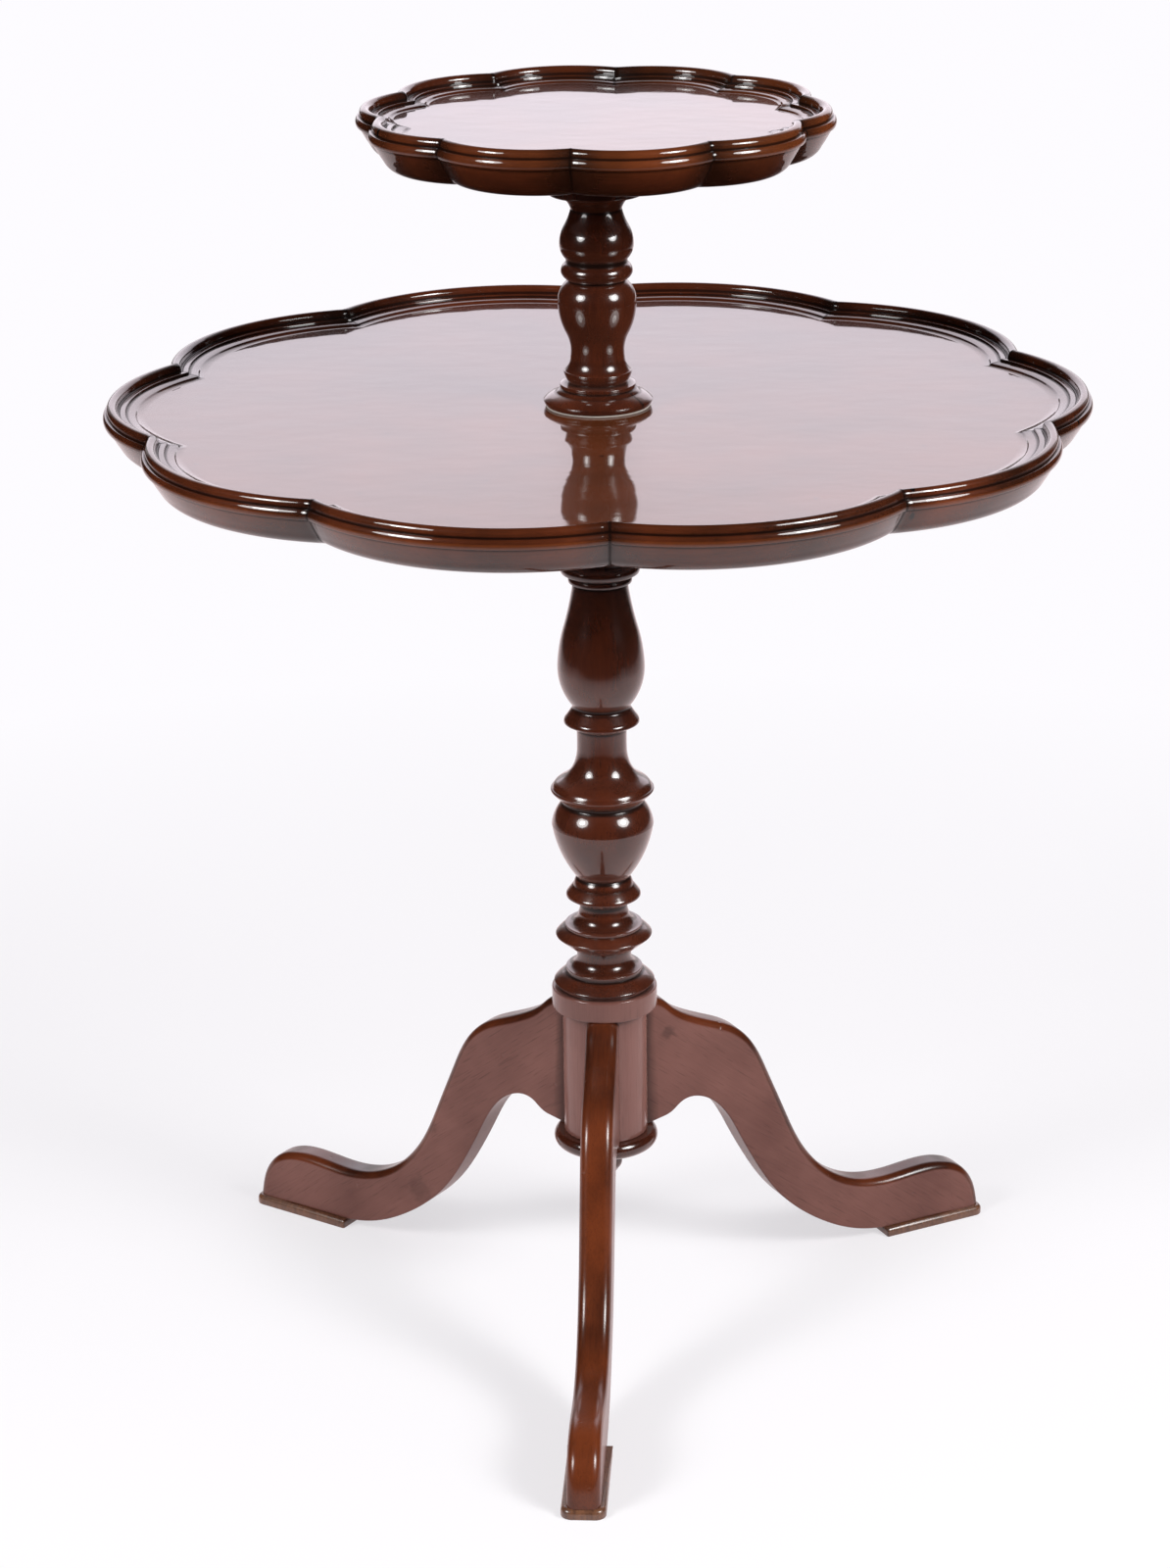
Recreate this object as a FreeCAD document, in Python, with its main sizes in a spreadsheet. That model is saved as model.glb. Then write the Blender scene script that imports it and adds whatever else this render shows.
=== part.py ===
"""Two-tier dumb waiter in mahogany: a turned column on three cabriole legs, with two lobed, dished trays.

Millimetres, +Z up, origin on the floor under the column's axis, front leg along -Y.
Both trays turn on the column. Every height is stacked from the floor, so a change of one member lifts
or lowers whatever stands on it.
"""
import FreeCAD, Part
import Sketcher
import math
import os

V = FreeCAD.Vector
UP = V(0, 0, 1)

# ---------------------------------------------------------------- driving sizes

SIZES = {
    # clearances
    "joint_gap": 0.1,             # glued tenons, dovetails, pegs and screws in their holes
    "running_gap": 0.05,          # a tray's bore round its journal, on the radius
    "lift_gap": 0.1,              # felt under the upper column, above the lower tray's field
    "end_gap": 1.0,               # below the end of a blind tenon or pivot
    "cut_beyond": 1.0,            # how far a housing, a tongue or a screw slot runs past its own face

    # hub
    "hub_underside": 126.0,
    "barrel_radius": 27.4,
    "barrel_tall": 88.3,
    "collar_radius": 34.1,
    "collar_tall": 14.2,
    "collar_round": 1.5,
    "groove_radius": 29.0,
    "groove_tall": 3.3,

    # legs
    "leg_count": 3,
    "leg_thick": 21.0,
    "leg_edge_round": 6.0,
    "hook_reach": 29.0,
    "leg_toe_reach": 286.4,
    "leg_sole_long": 78.4,
    "tongue_inner": 16.0,
    "tongue_neck": 9.0,
    "tongue_tail": 13.0,
    "tongue_tall": 72.0,

    # foot pads
    "pad_thick": 6.5,
    "pad_width": 28.0,
    "pad_heel_setback": 2.0,      # bare sole between a leg's heel and its pad
    "pad_toe_margin": 1.8,        # pad beyond the toe
    "pad_toe_round": 5.0,
    "pad_heel_round": 1.5,
    "pad_edge_round": 2.6,
    "peg_setback": 40.4,          # from the toe in to the peg
    "peg_radius": 3.0,
    "peg_in_pad": 4.5,
    "peg_in_leg": 14.0,

    # base cap and pendant
    "cap_tall": 10.0,
    "cap_radius": 31.2,
    "cap_bead_swell": 2.9,
    "pendant_tenon_radius": 6.0,
    "pendant_tenon_in_hub": 12.0,

    # wood screws
    "screw_head_radius": 3.6,
    "screw_head_tall": 2.2,
    "screw_head_edge": 0.3,
    "screw_radius": 1.8,
    "screw_long": 20.0,
    "screw_point": 3.0,
    "screw_slot_wide": 0.9,
    "screw_slot_deep": 0.9,
    "cap_screw_ring": 21.5,
    "cap_screw_count": 3,
    "boss_screw_count": 4,

    # column joints
    "stem_foot_radius": 33.0,
    "stem_tenon_radius": 11.0,
    "stem_tenon_long": 82.0,
    "journal_radius": 14.0,
    "upper_foot_radius": 32.3,
    "upper_tenon_radius": 9.0,
    "upper_tenon_long": 56.0,
    "pivot_radius": 9.0,
    "pivot_in_tray": 12.0,

    # washers
    "leather_thick": 1.0,
    "lower_leather_radius": 26.0,
    "upper_leather_radius": 18.0,
    "felt_thick": 1.1,
    "felt_radius": 32.4,

    # tray bosses
    "lower_boss_tall": 23.0,
    "lower_boss_radius": 30.0,
    "lower_flange_radius": 46.0,
    "upper_boss_tall": 23.6,
    "upper_boss_radius": 29.8,
    "upper_flange_radius": 44.0,
    "flange_thick": 7.5,
    "boss_arris": 0.9,
    "boss_band_tall": 5.0,
    "boss_cove": 1.6,
    "screw_edge_margin": 7.0,

    # trays
    "tray_board": 21.0,
    "lobe_count": 10,
    "lower_peak_radius": 304.6,
    "lower_cusp_radius": 287.0,
    "lower_tray_turn": 4.4,
    "upper_peak_radius": 145.3,
    "upper_cusp_radius": 136.6,
    "upper_tray_turn": -2.9,
}

# Turned members from the bottom up: name, rise, radius at its top, swell of its side (+ round, - hollow).
LOWER_TURNING = (
    ("torus", 6.8, 24.6, 0.6),
    ("torus_fillet", 3.0, 24.8, 0.0),
    ("foot_cove", 7.6, 17.6, -2.0),
    ("disc_neck", 6.1, 18.4, -0.2),
    ("disc_ledge", 1.5, 22.5, 0.0),
    ("disc_under", 7.2, 31.0, 0.1),
    ("disc_edge", 1.4, 30.6, 0.3),
    ("disc_top", 4.7, 24.9, 0.4),
    ("disc_fillet", 1.6, 25.0, 0.0),
    ("neck_cove", 7.5, 16.3, -2.4),
    ("ring_neck", 6.7, 15.5, -0.5),
    ("ring_under", 5.2, 24.1, 0.1),
    ("ring_edge", 2.6, 23.3, 0.3),
    ("ring_top", 4.8, 19.4, 0.1),
    ("ring_quirk", 5.7, 16.9, 0.4),
    ("bowl", 36.4, 32.7, 2.6),
    ("bowl_shoulder", 14.1, 26.4, 1.25),
    ("bowl_quirk", 2.8, 26.3, -0.5),
    ("lip_under", 5.8, 32.7, 0.3),
    ("lip_edge", 2.0, 32.0, 0.7),
    ("lip_top", 3.9, 29.2, 0.4),
    ("lip_fillet", 1.8, 26.4, 0.0),
    ("scotia_low", 8.3, 18.7, -0.9),
    ("scotia_high", 13.2, 15.9, -0.75),
    ("neck", 12.5, 16.0, -0.1),
    ("neck_ring_under", 4.5, 24.1, 0.1),
    ("neck_ring_edge", 3.4, 22.8, 0.4),
    ("neck_ring_top", 4.9, 19.4, 0.0),
    ("vase_quirk", 3.0, 18.5, -0.4),
    ("vase_bowl", 26.4, 27.7, 2.55),
    ("vase_belly", 25.5, 23.5, 0.8),
    ("vase_shoulder", 28.7, 17.4, -0.5),
    ("vase_ring_under", 1.1, 20.0, 0.0),
    ("vase_ring", 3.0, 19.8, 0.3),
    ("capital_quirk", 1.3, 19.6, -0.2),
    ("capital_under", 2.0, 24.6, 0.3),
    ("capital_edge", 4.2, 24.8, 0.5),
    ("capital_top", 3.5, 21.5, 0.5),
    ("capital_fillet", 2.0, 21.5, 0.0),
    ("capital_cove", 9.5, 17.0, -2.4),
    ("shaft", 28.0, 20.5, 0.6),
    ("shaft_quirk", 1.5, 19.5, 0.0),
    ("shaft_bead", 6.0, 19.5, 2.5),
    ("seat_cove", 5.5, 27.0, -1.5),
    ("seat_edge", 2.0, 27.0, 0.0),
)
UPPER_TURNING = (
    ("foot_edge", 3.4, 33.7, 0.3),
    ("foot_torus", 4.6, 26.0, 0.6),
    ("foot_top", 2.6, 22.9, 0.2),
    ("foot_fillet", 2.5, 23.3, 0.4),
    ("foot_recess", 1.2, 17.9, 0.0),
    ("shoulder_under", 6.2, 21.0, 0.6),
    ("shoulder_edge", 0.9, 20.4, 0.2),
    ("low_cove", 8.9, 16.8, -1.0),
    ("waist", 5.6, 16.6, -0.2),
    ("bulb_stem", 9.4, 19.6, -0.5),
    ("bulb", 20.2, 24.1, 1.35),
    ("bulb_top", 12.4, 17.4, 1.6),
    ("ring_under", 5.2, 22.1, 1.0),
    ("ring_top", 5.5, 18.9, 0.8),
    ("ring_quirk", 2.2, 18.9, 0.0),
    ("urn", 9.0, 22.8, 1.0),
    ("urn_shoulder", 11.5, 19.7, 0.8),
    ("urn_neck", 10.2, 15.7, -0.4),
    ("top_cove", 5.8, 18.9, -0.4),
    ("top_edge", 2.5, 20.5, 0.0),
)
PENDANT_TURNING = (
    ("button", 2.0, 4.6, 0.8),
    ("drop_low", 4.0, 8.6, 0.5),
    ("drop", 5.5, 10.6, 0.7),
    ("drop_top", 4.5, 9.2, 0.5),
    ("cove", 9.0, 16.0, -1.0),
)
# Rim of both trays from the underside up and inwards: name, inset from the outermost line, height above
# the dished field, swell of the side that ends there.
RIM_SECTION = (
    ("belly", 8.6, -13.9, 2.0),
    ("ovolo", 2.3, -3.2, 0.2),
    ("band_foot", 0.8, -2.8, 0.0),
    ("band", 1.2, 2.7, 0.85),
    ("ledge", 2.7, 3.0, 0.0),
    ("bead_outside", 2.7, 5.1, 0.0),
    ("bead", 9.2, 5.1, 3.3),
    ("bead_inside", 9.6, 3.2, 0.0),
    ("quirk", 10.9, 3.3, -0.2),
    ("flat", 14.0, 3.4, 0.0),
    ("flat_step", 14.4, 1.9, 0.0),
    ("slope", 20.2, 1.1, 0.1),
)
RIM_BELLY_INSET = 20.0
RIM_FIELD_INSET = 21.2
# A lobe is cut off towards the tray's centre at this share of its own centre's distance, on the flat field.
LOBE_START = 0.6
# Side view of a leg in shares of its own spans, along the floor and up: the crown from the collar's foot
# (0, 1) to the toe (1, 0) and the underside from the hook under the hub (0, 1) to the heel (1, 0).
LEG_CROWN = (
    (0.0174, 0.9885), (0.0511, 0.9514), (0.1027, 0.9119), (0.1661, 0.8782), (0.2255, 0.8436),
    (0.2830, 0.7782), (0.3345, 0.6569), (0.3860, 0.5106), (0.4356, 0.3802), (0.4832, 0.2984),
    (0.5466, 0.2310), (0.6219, 0.1910), (0.7051, 0.1785), (0.8161, 0.1872), (0.8874, 0.1805),
    (0.9429, 0.1492), (0.9818, 0.0890),
)
LEG_UNDERSIDE = (
    (0.0307, 1.0159), (0.0726, 1.0326), (0.0972, 1.0561), (0.1223, 1.0854), (0.1564, 1.1029),
    (0.1983, 1.0971), (0.2514, 1.0569), (0.3129, 0.9582), (0.3743, 0.7908), (0.4497, 0.5816),
    (0.5363, 0.3891), (0.6425, 0.2344), (0.7486, 0.1256), (0.8603, 0.0461), (0.9442, 0.0125),
)

doc = FreeCAD.newDocument("dumb_waiter")
sheet = doc.addObject("Spreadsheet::Sheet", "sizes")


def fill_sheet(cells):
    """Write each size as a plain number beside its name, with that name as the cell's alias."""
    for row, (name, value) in enumerate(cells, start=1):
        sheet.set(f"A{row}", name)
        sheet.set(f"B{row}", repr(value))
        sheet.setAlias(f"B{row}", name)


def turning_cells(prefix, members):
    """Sheet cells of a turned outline, three for each member."""
    for name, rise, radius, swell in members:
        yield f"{prefix}_{name}_rise", rise
        yield f"{prefix}_{name}_radius", radius
        yield f"{prefix}_{name}_swell", swell


def rim_cells():
    """Sheet cells of the rim's section."""
    yield "rim_belly_inset_foot", RIM_BELLY_INSET
    yield "rim_field_inset", RIM_FIELD_INSET
    for name, inset, height, swell in RIM_SECTION:
        yield f"rim_{name}_inset", inset
        yield f"rim_{name}_height", height
        yield f"rim_{name}_swell", swell


fill_sheet(
    list(SIZES.items())
    + list(turning_cells("lower", LOWER_TURNING))
    + list(turning_cells("upper", UPPER_TURNING))
    + list(turning_cells("pendant", PENDANT_TURNING))
    + list(rim_cells())
)
doc.recompute()


def size(name):
    """A driving size, read back from the sheet."""
    return float(sheet.get(name))


# ------------------------------------------------------- heights from the floor, reaches from the axis

def rises(prefix, members):
    """Spreadsheet formula for the total rise of a turned outline."""
    return " + ".join(f"sizes.{prefix}_{name}_rise" for name, *_ in members)


LEVELS = (
    ("cap_base", "sizes.hub_underside - sizes.cap_tall"),
    ("pendant_base", f"cap_base - ({rises('pendant', PENDANT_TURNING)})"),
    ("collar_base", "sizes.hub_underside + sizes.barrel_tall"),
    ("stem_base", "collar_base + sizes.collar_tall + sizes.groove_tall"),
    ("lower_seat", f"stem_base + {rises('lower', LOWER_TURNING)}"),
    ("lower_boss_base", "lower_seat + sizes.leather_thick"),
    ("lower_tray_base", "lower_boss_base + sizes.lower_boss_tall"),
    ("lower_flange_base", "lower_tray_base - sizes.flange_thick"),
    ("lower_field", "lower_tray_base + sizes.tray_board"),
    ("felt_base", "lower_field + sizes.lift_gap"),
    ("upper_stem_base", "felt_base + sizes.felt_thick"),
    ("upper_seat", f"upper_stem_base + {rises('upper', UPPER_TURNING)}"),
    ("upper_boss_base", "upper_seat + sizes.leather_thick"),
    ("upper_tray_base", "upper_boss_base + sizes.upper_boss_tall"),
    ("upper_flange_base", "upper_tray_base - sizes.flange_thick"),
)
REACHES = (
    ("heel", "sizes.leg_toe_reach - sizes.leg_sole_long"),
    ("pad_heel", "heel + sizes.pad_heel_setback"),
    ("pad_toe", "sizes.leg_toe_reach + sizes.pad_toe_margin"),
    ("peg", "sizes.leg_toe_reach - sizes.peg_setback"),
)


def worked_out(name, rows):
    """A sheet of lengths that follow from the driving sizes."""
    made = doc.addObject("Spreadsheet::Sheet", name)
    for row, (alias, formula) in enumerate(rows, start=1):
        made.set(f"A{row}", alias)
        made.set(f"B{row}", f"={formula}")
        made.setAlias(f"B{row}", alias)
    return made


levels = worked_out("levels", LEVELS)
reaches = worked_out("reaches", REACHES)
doc.recompute()


def level(name):
    """A stacked height above the floor."""
    return float(levels.get(name))


def reach(name):
    """A distance along a leg from the column's axis."""
    return float(reaches.get(name))


# ---------------------------------------------------------------- drawing helpers

def bulged(start, end, swell):
    """Straight line from start to end, or the arc whose middle stands `swell` to the right of it."""
    first, last = V(start[0], start[1], 0), V(end[0], end[1], 0)
    if abs(swell) < 1e-6:
        return Part.LineSegment(first, last)
    run = last - first
    side = V(run.y, -run.x, 0).normalize()
    return Part.Arc(first, (first + last) * 0.5 + side * swell, last)


def chain(points, swells=()):
    """Edges through the points; swells[i] belongs to the edge that leaves point i, straight if absent."""
    edges = []
    for index, point in enumerate(points[:-1]):
        swell = swells[index] if index < len(swells) else 0.0
        edges.append(bulged(point, points[index + 1], swell))
    return edges


def closed(points):
    """Straight edges round a closed polygon."""
    return chain(list(points) + [points[0]])


def turned(prefix, members, radius, height=0.0):
    """Points and swells of a turned outline that starts at a radius and height."""
    points, swells = [(radius, height)], []
    for name, *_ in members:
        height += size(f"{prefix}_{name}_rise")
        points.append((size(f"{prefix}_{name}_radius"), height))
        swells.append(size(f"{prefix}_{name}_swell"))
    return points, swells


def body(label, height=None, turn=None):
    """A PartDesign body stood at a height above the floor and turned about +Z."""
    piece = doc.addObject("PartDesign::Body", label)
    piece.Label = label
    piece.Placement = FreeCAD.Placement(V(0, 0, 0), FreeCAD.Rotation(UP, 0))
    if height:
        piece.setExpression(".Placement.Base.z", height)
    if isinstance(turn, str):
        piece.setExpression(".Placement.Rotation.Angle", turn)
    elif turn is not None:
        piece.Placement = FreeCAD.Placement(V(0, 0, 0), FreeCAD.Rotation(UP, turn))
    return piece


def origin_part(piece, role):
    """One of a body's own origin planes or axes."""
    return next(part for part in piece.Origin.OriginFeatures if part.Role == role)


def sketch(piece, name, plane, edges=(), shift_x=None, shift_y=None, lift=None):
    """A sketch on one of the body's origin planes; shifts are expressions in the plane's own directions."""
    drawing = piece.newObject("Sketcher::SketchObject", f"{piece.Label}_{name}")
    drawing.AttachmentSupport = [(origin_part(piece, plane), "")]
    drawing.MapMode = "FlatFace"
    for letter, shift in (("x", shift_x), ("y", shift_y), ("z", lift)):
        if shift:
            drawing.setExpression(f".AttachmentOffset.Base.{letter}", shift)
    drawing.addGeometry(list(edges), False)
    return drawing


def circle(drawing, radius):
    """A circle about the sketch's origin whose radius is an expression."""
    index = drawing.addGeometry(Part.Circle(V(0, 0, 0), UP, 1.0), False)
    drawing.addConstraint(Sketcher.Constraint("Coincident", index, 3, -1, 1))
    bound = drawing.addConstraint(Sketcher.Constraint("Radius", index, 1.0))
    drawing.setExpression(f"Constraints[{bound}]", radius)


def feature(piece, kind, name, profile, **settings):
    """A sketch-based PartDesign feature with its settings; text settings that hold a size are bound."""
    made = piece.newObject(f"PartDesign::{kind}", f"{piece.Label}_{name}")
    made.Profile = profile
    for key, value in settings.items():
        if key in ("Length", "Angle") and isinstance(value, str):
            made.setExpression(key, value)
        else:
            setattr(made, key, value)
    piece.Tip = made
    return made


def revolve(piece, name, drawing, kind="Revolution"):
    """A full turn of a sketch about its own upright axis."""
    return feature(piece, kind, name, drawing, ReferenceAxis=(drawing, ["V_Axis"]), Angle=360.0)


def polar(piece, name, count, originals=None):
    """Copies of features, or of the whole shape, spread evenly about the body's Z axis."""
    base = piece.Tip
    pattern = piece.newObject("PartDesign::PolarPattern", f"{piece.Label}_{name}")
    if originals:
        pattern.Originals = originals
    else:
        pattern.TransformMode = "Whole shape"
        pattern.BaseFeature = base
    pattern.Axis = (origin_part(piece, "Z_Axis"), [""])
    pattern.Angle = 360.0
    pattern.setExpression("Occurrences", count)
    piece.Tip = pattern
    return pattern


def lathe(label, height, edges, turn=None):
    """A turned piece: a closed outline, drawn beside the axis, turned once round."""
    piece = body(label, height, turn)
    revolve(piece, "turning", sketch(piece, "outline", "XZ_Plane", edges))
    return piece


def ring(label, height, outer, inner, thick):
    """A flat washer."""
    piece = body(label, height)
    drawing = sketch(piece, "ring", "XY_Plane")
    circle(drawing, outer)
    circle(drawing, inner)
    feature(piece, "Pad", "thickness", drawing, Length=thick)
    return piece


# ---------------------------------------------------------------- wood screws

def screw_outline(gap=0.0):
    """Closed half outline of a countersunk wood screw, head down at height 0, larger all over by a gap."""
    head, shank = size("screw_head_radius") + gap, size("screw_radius") + gap
    edge, neck, long = size("screw_head_edge"), size("screw_head_tall"), size("screw_long") + gap
    return closed((
        (0, -gap), (head, -gap), (head, edge), (shank, neck), (shank, long - size("screw_point")), (0, long),
    ))


def screws(label, ring_radius, height, count, turn=None):
    """A ring of identical slotted wood screws in one node."""
    piece = body(label, height, turn)
    piece.AllowCompound = True
    revolve(piece, "screw", sketch(piece, "outline", "XZ_Plane", screw_outline(), shift_x=ring_radius))
    half, end = size("screw_slot_wide") / 2, size("screw_head_radius") + size("cut_beyond")
    slot = closed(((-end, -half), (end, -half), (end, half), (-end, half)))
    drawing = sketch(piece, "slot", "XY_Plane", slot, shift_x=ring_radius)
    feature(piece, "Pocket", "slot", drawing, Length="sizes.screw_slot_deep", Reversed=True)
    polar(piece, "screws", count)
    return piece


def drill(piece, ring_radius, count, below="0"):
    """Countersunk holes for a ring of screws whose heads lie at a height in the body's own frame."""
    outline = screw_outline(size("joint_gap"))
    drawing = sketch(piece, "screw_hole", "XZ_Plane", outline, shift_x=ring_radius, shift_y=below)
    hole = revolve(piece, "screw_hole_cut", drawing, kind="Groove")
    polar(piece, "screw_holes", count, [hole])


# ---------------------------------------------------------------- hub, legs and feet

LEG_TURNS = {"front": -90.0, "right": 30.0, "left": 150.0}
FRONT_TURN = LEG_TURNS["front"]


def dovetail(gap, far):
    """Plan of a leg's dovetail tongue, widest at its inner end, larger all over by a gap."""
    inner, face = size("tongue_inner"), size("barrel_radius")
    neck, tail = size("tongue_neck") / 2, size("tongue_tail") / 2
    slope = (tail - neck) / (face - inner)
    near = inner - gap
    wide, narrow = tail + gap + slope * gap, neck + gap - slope * (far - face)
    return closed(((near, -wide), (far, -narrow), (far, narrow), (near, wide)))


def make_hub():
    """Barrel with a collar on top, three dovetail housings from below and a mortise from above."""
    barrel, collar, groove = size("barrel_radius"), size("collar_radius"), size("groove_radius")
    tall = size("barrel_tall")
    collar_top = tall + size("collar_tall")
    top = collar_top + size("groove_tall")
    easing = size("collar_round")
    mortise = size("stem_tenon_radius") + size("joint_gap")
    floor = top - size("stem_tenon_long") - size("end_gap")
    outline = chain((
        (0, 0), (barrel, 0), (barrel, tall), (collar, tall), (collar, collar_top - easing),
        (collar - easing, collar_top), (groove, collar_top), (groove, top), (mortise, top),
        (mortise, floor), (0, floor), (0, 0),
    ), (0, 0, 0, 0, easing * (1 - math.sqrt(0.5))))
    piece = lathe("hub", "sizes.hub_underside", outline, FRONT_TURN)
    hole = sketch(piece, "pendant_hole", "XY_Plane")
    circle(hole, "sizes.pendant_tenon_radius + sizes.joint_gap")
    feature(piece, "Pocket", "pendant_hole_cut", hole, Reversed=True,
            Length="sizes.pendant_tenon_in_hub + sizes.end_gap")
    gap = size("joint_gap")
    housing = sketch(piece, "housing", "XY_Plane", dovetail(gap, barrel + size("cut_beyond")))
    cut = feature(piece, "Pocket", "housing_cut", housing, Reversed=True,
                  Length="sizes.tongue_tall + sizes.joint_gap")
    polar(piece, "housings", "sizes.leg_count", [cut])
    drill(piece, "-sizes.cap_screw_ring", "sizes.cap_screw_count", "-sizes.cap_tall")
    return piece


def swept(upper, lower, shares):
    """Curve from an upper point out and down to a lower one through shares of the two spans."""
    span, fall = lower[0] - upper[0], upper[1] - lower[1]
    between = [(upper[0] + span * out, lower[1] + fall * up) for out, up in shares]
    curve = Part.BSplineCurve()
    curve.interpolate([V(x, y, 0) for x, y in [upper] + between + [lower]])
    return curve


def leg_outline():
    """Side view of a cabriole leg: crown, toe, sole and the hook under the hub.

    Inside the collar the crown runs straight on, above the collar's underside, until the leg is cut to it.
    """
    inside = size("tongue_inner") + size("joint_gap")
    hub, top, sole = size("hub_underside"), level("collar_base"), size("pad_thick")
    hook, shoulder = (size("hook_reach"), hub), (size("collar_radius"), top)
    heel, toe = (reach("heel"), sole), (size("leg_toe_reach"), sole)
    crown, underside = swept(shoulder, toe, LEG_CROWN), swept(hook, heel, LEG_UNDERSIDE)
    way = crown.tangent(crown.FirstParameter)[0]
    crest = (inside, top + (inside - shoulder[0]) * way.y / way.x)
    return [crown, underside] + chain((toe, heel)) + chain((hook, (inside, hub), crest, shoulder))


def crown_edges(shape):
    """Names of the two long edges along a leg's crown: the only ones that span from collar to toe."""
    crown = size("leg_toe_reach") - size("collar_radius")
    spans = [(index, edge.BoundBox.XLength) for index, edge in enumerate(shape.Edges, start=1)]
    return [f"Edge{index}" for index, span in spans if abs(span - crown) < size("joint_gap")]


def make_leg(side, turn):
    """A cabriole leg with rounded crown edges, cut to the collar and dovetailed into the barrel."""
    piece = body(f"leg_{side}", turn=turn)
    plank = feature(piece, "Pad", "plank", sketch(piece, "side_view", "XZ_Plane", leg_outline()),
                    Length="sizes.leg_thick", SideType="Symmetric")
    doc.recompute()
    rounding = piece.newObject("PartDesign::Fillet", f"{piece.Label}_crown_rounding")
    rounding.Base = (plank, crown_edges(plank.Shape))
    rounding.setExpression("Radius", "sizes.leg_edge_round")
    piece.Tip = rounding
    above = sketch(piece, "above_collar_foot", "XY_Plane", lift="levels.collar_base")
    circle(above, "sizes.collar_radius")
    feature(piece, "Pocket", "collar_seat_cut", above, Type="ThroughAll", Reversed=True)
    seat = sketch(piece, "barrel_seat", "XY_Plane")
    circle(seat, "sizes.barrel_radius + sizes.joint_gap")
    feature(piece, "Pocket", "barrel_seat_cut", seat, Type="ThroughAll", SideType="Symmetric")
    tail = dovetail(0, size("barrel_radius") + size("cut_beyond"))
    tongue = sketch(piece, "tongue", "XY_Plane", tail, lift="sizes.hub_underside")
    feature(piece, "Pad", "tongue_pad", tongue, Length="sizes.tongue_tall")
    hole = sketch(piece, "peg_hole", "XY_Plane", shift_x="reaches.peg", lift="sizes.pad_thick")
    circle(hole, "sizes.peg_radius + sizes.joint_gap")
    feature(piece, "Pocket", "peg_hole_cut", hole, Length="sizes.peg_in_leg + sizes.end_gap", Reversed=True)
    return piece


def pad_outline():
    """Plan of a foot pad with rounded corners, the rounder ones at the toe."""
    heel, toe, half = reach("pad_heel"), reach("pad_toe"), size("pad_width") / 2
    back, front = size("pad_heel_round"), size("pad_toe_round")
    cut = 1 - math.sqrt(0.5)
    points = (
        (heel + back, -half), (toe - front, -half), (toe, front - half), (toe, half - front),
        (toe - front, half),
        (heel + back, half), (heel, half - back), (heel, back - half), (heel + back, -half),
    )
    return chain(points, (0, front * cut, 0, front * cut, 0, back * cut, 0, back * cut))


def make_foot_pad(side, turn):
    """The shallow pad glued and pegged under a leg's toe."""
    piece = body(f"foot_pad_{side}", turn=turn)
    slab = feature(piece, "Pad", "slab", sketch(piece, "plan", "XY_Plane", pad_outline()),
                   Length="sizes.pad_thick")
    doc.recompute()
    top = [f"Edge{index}" for index, edge in enumerate(slab.Shape.Edges, start=1)
           if edge.BoundBox.ZMin > size("pad_thick") - size("joint_gap")]
    rounding = piece.newObject("PartDesign::Fillet", f"{piece.Label}_arris")
    rounding.Base = (slab, top)
    rounding.setExpression("Radius", "sizes.pad_edge_round")
    piece.Tip = rounding
    hole = sketch(piece, "peg_hole", "XY_Plane", shift_x="reaches.peg", lift="sizes.pad_thick")
    circle(hole, "sizes.peg_radius + sizes.joint_gap")
    feature(piece, "Pocket", "peg_hole_cut", hole, Length="sizes.peg_in_pad + sizes.joint_gap")
    return piece


def make_foot_pegs():
    """One dowel in each foot, from the pad up into the leg."""
    piece = body("foot_pegs", "sizes.pad_thick - sizes.peg_in_pad", FRONT_TURN)
    piece.AllowCompound = True
    drawing = sketch(piece, "peg", "XY_Plane", shift_x="reaches.peg")
    circle(drawing, "sizes.peg_radius")
    feature(piece, "Pad", "peg", drawing, Length="sizes.peg_in_pad + sizes.peg_in_leg")
    polar(piece, "pegs", "sizes.leg_count")
    return piece


def make_base_cap():
    """Turned bead that closes the housings from below, screwed to the hub."""
    tall, edge = size("cap_tall"), size("cap_radius")
    bore = size("pendant_tenon_radius") + size("joint_gap")
    corners = ((bore, 0), (edge, 0), (edge, tall), (bore, tall), (bore, 0))
    outline = chain(corners, (0, size("cap_bead_swell")))
    piece = lathe("base_cap", "levels.cap_base", outline, FRONT_TURN)
    drill(piece, "-sizes.cap_screw_ring", "sizes.cap_screw_count")
    return piece


def make_pendant():
    """Turned drop under the hub, its tenon through the base cap."""
    points, swells = turned("pendant", PENDANT_TURNING, 0.0)
    shoulder, tenon = points[-1][1], size("pendant_tenon_radius")
    end = shoulder + size("cap_tall") + size("pendant_tenon_in_hub")
    outline = chain(points + [(tenon, shoulder), (tenon, end), (0, end), (0, 0)], swells)
    return lathe("pendant", "levels.pendant_base", outline)


# ---------------------------------------------------------------- column

def make_lower_stem():
    """Turned column: tenon into the hub, journal through the lower tray, mortise for the upper column."""
    gap = size("joint_gap")
    points, swells = turned("lower", LOWER_TURNING, size("stem_foot_radius"))
    tenon, long = size("stem_tenon_radius"), size("stem_tenon_long")
    seat = points[-1][1]
    journal, top = size("journal_radius"), level("upper_stem_base") - level("stem_base")
    mortise, floor = size("upper_tenon_radius") + gap, top - size("upper_tenon_long") - size("end_gap")
    below = [(0, -long), (tenon, -long), (tenon, 0)]
    above = [(journal, seat), (journal, top), (mortise, top), (mortise, floor), (0, floor), (0, -long)]
    outline = chain(below + points + above, [0] * len(below) + swells)
    return lathe("lower_stem", "levels.stem_base", outline)


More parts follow.
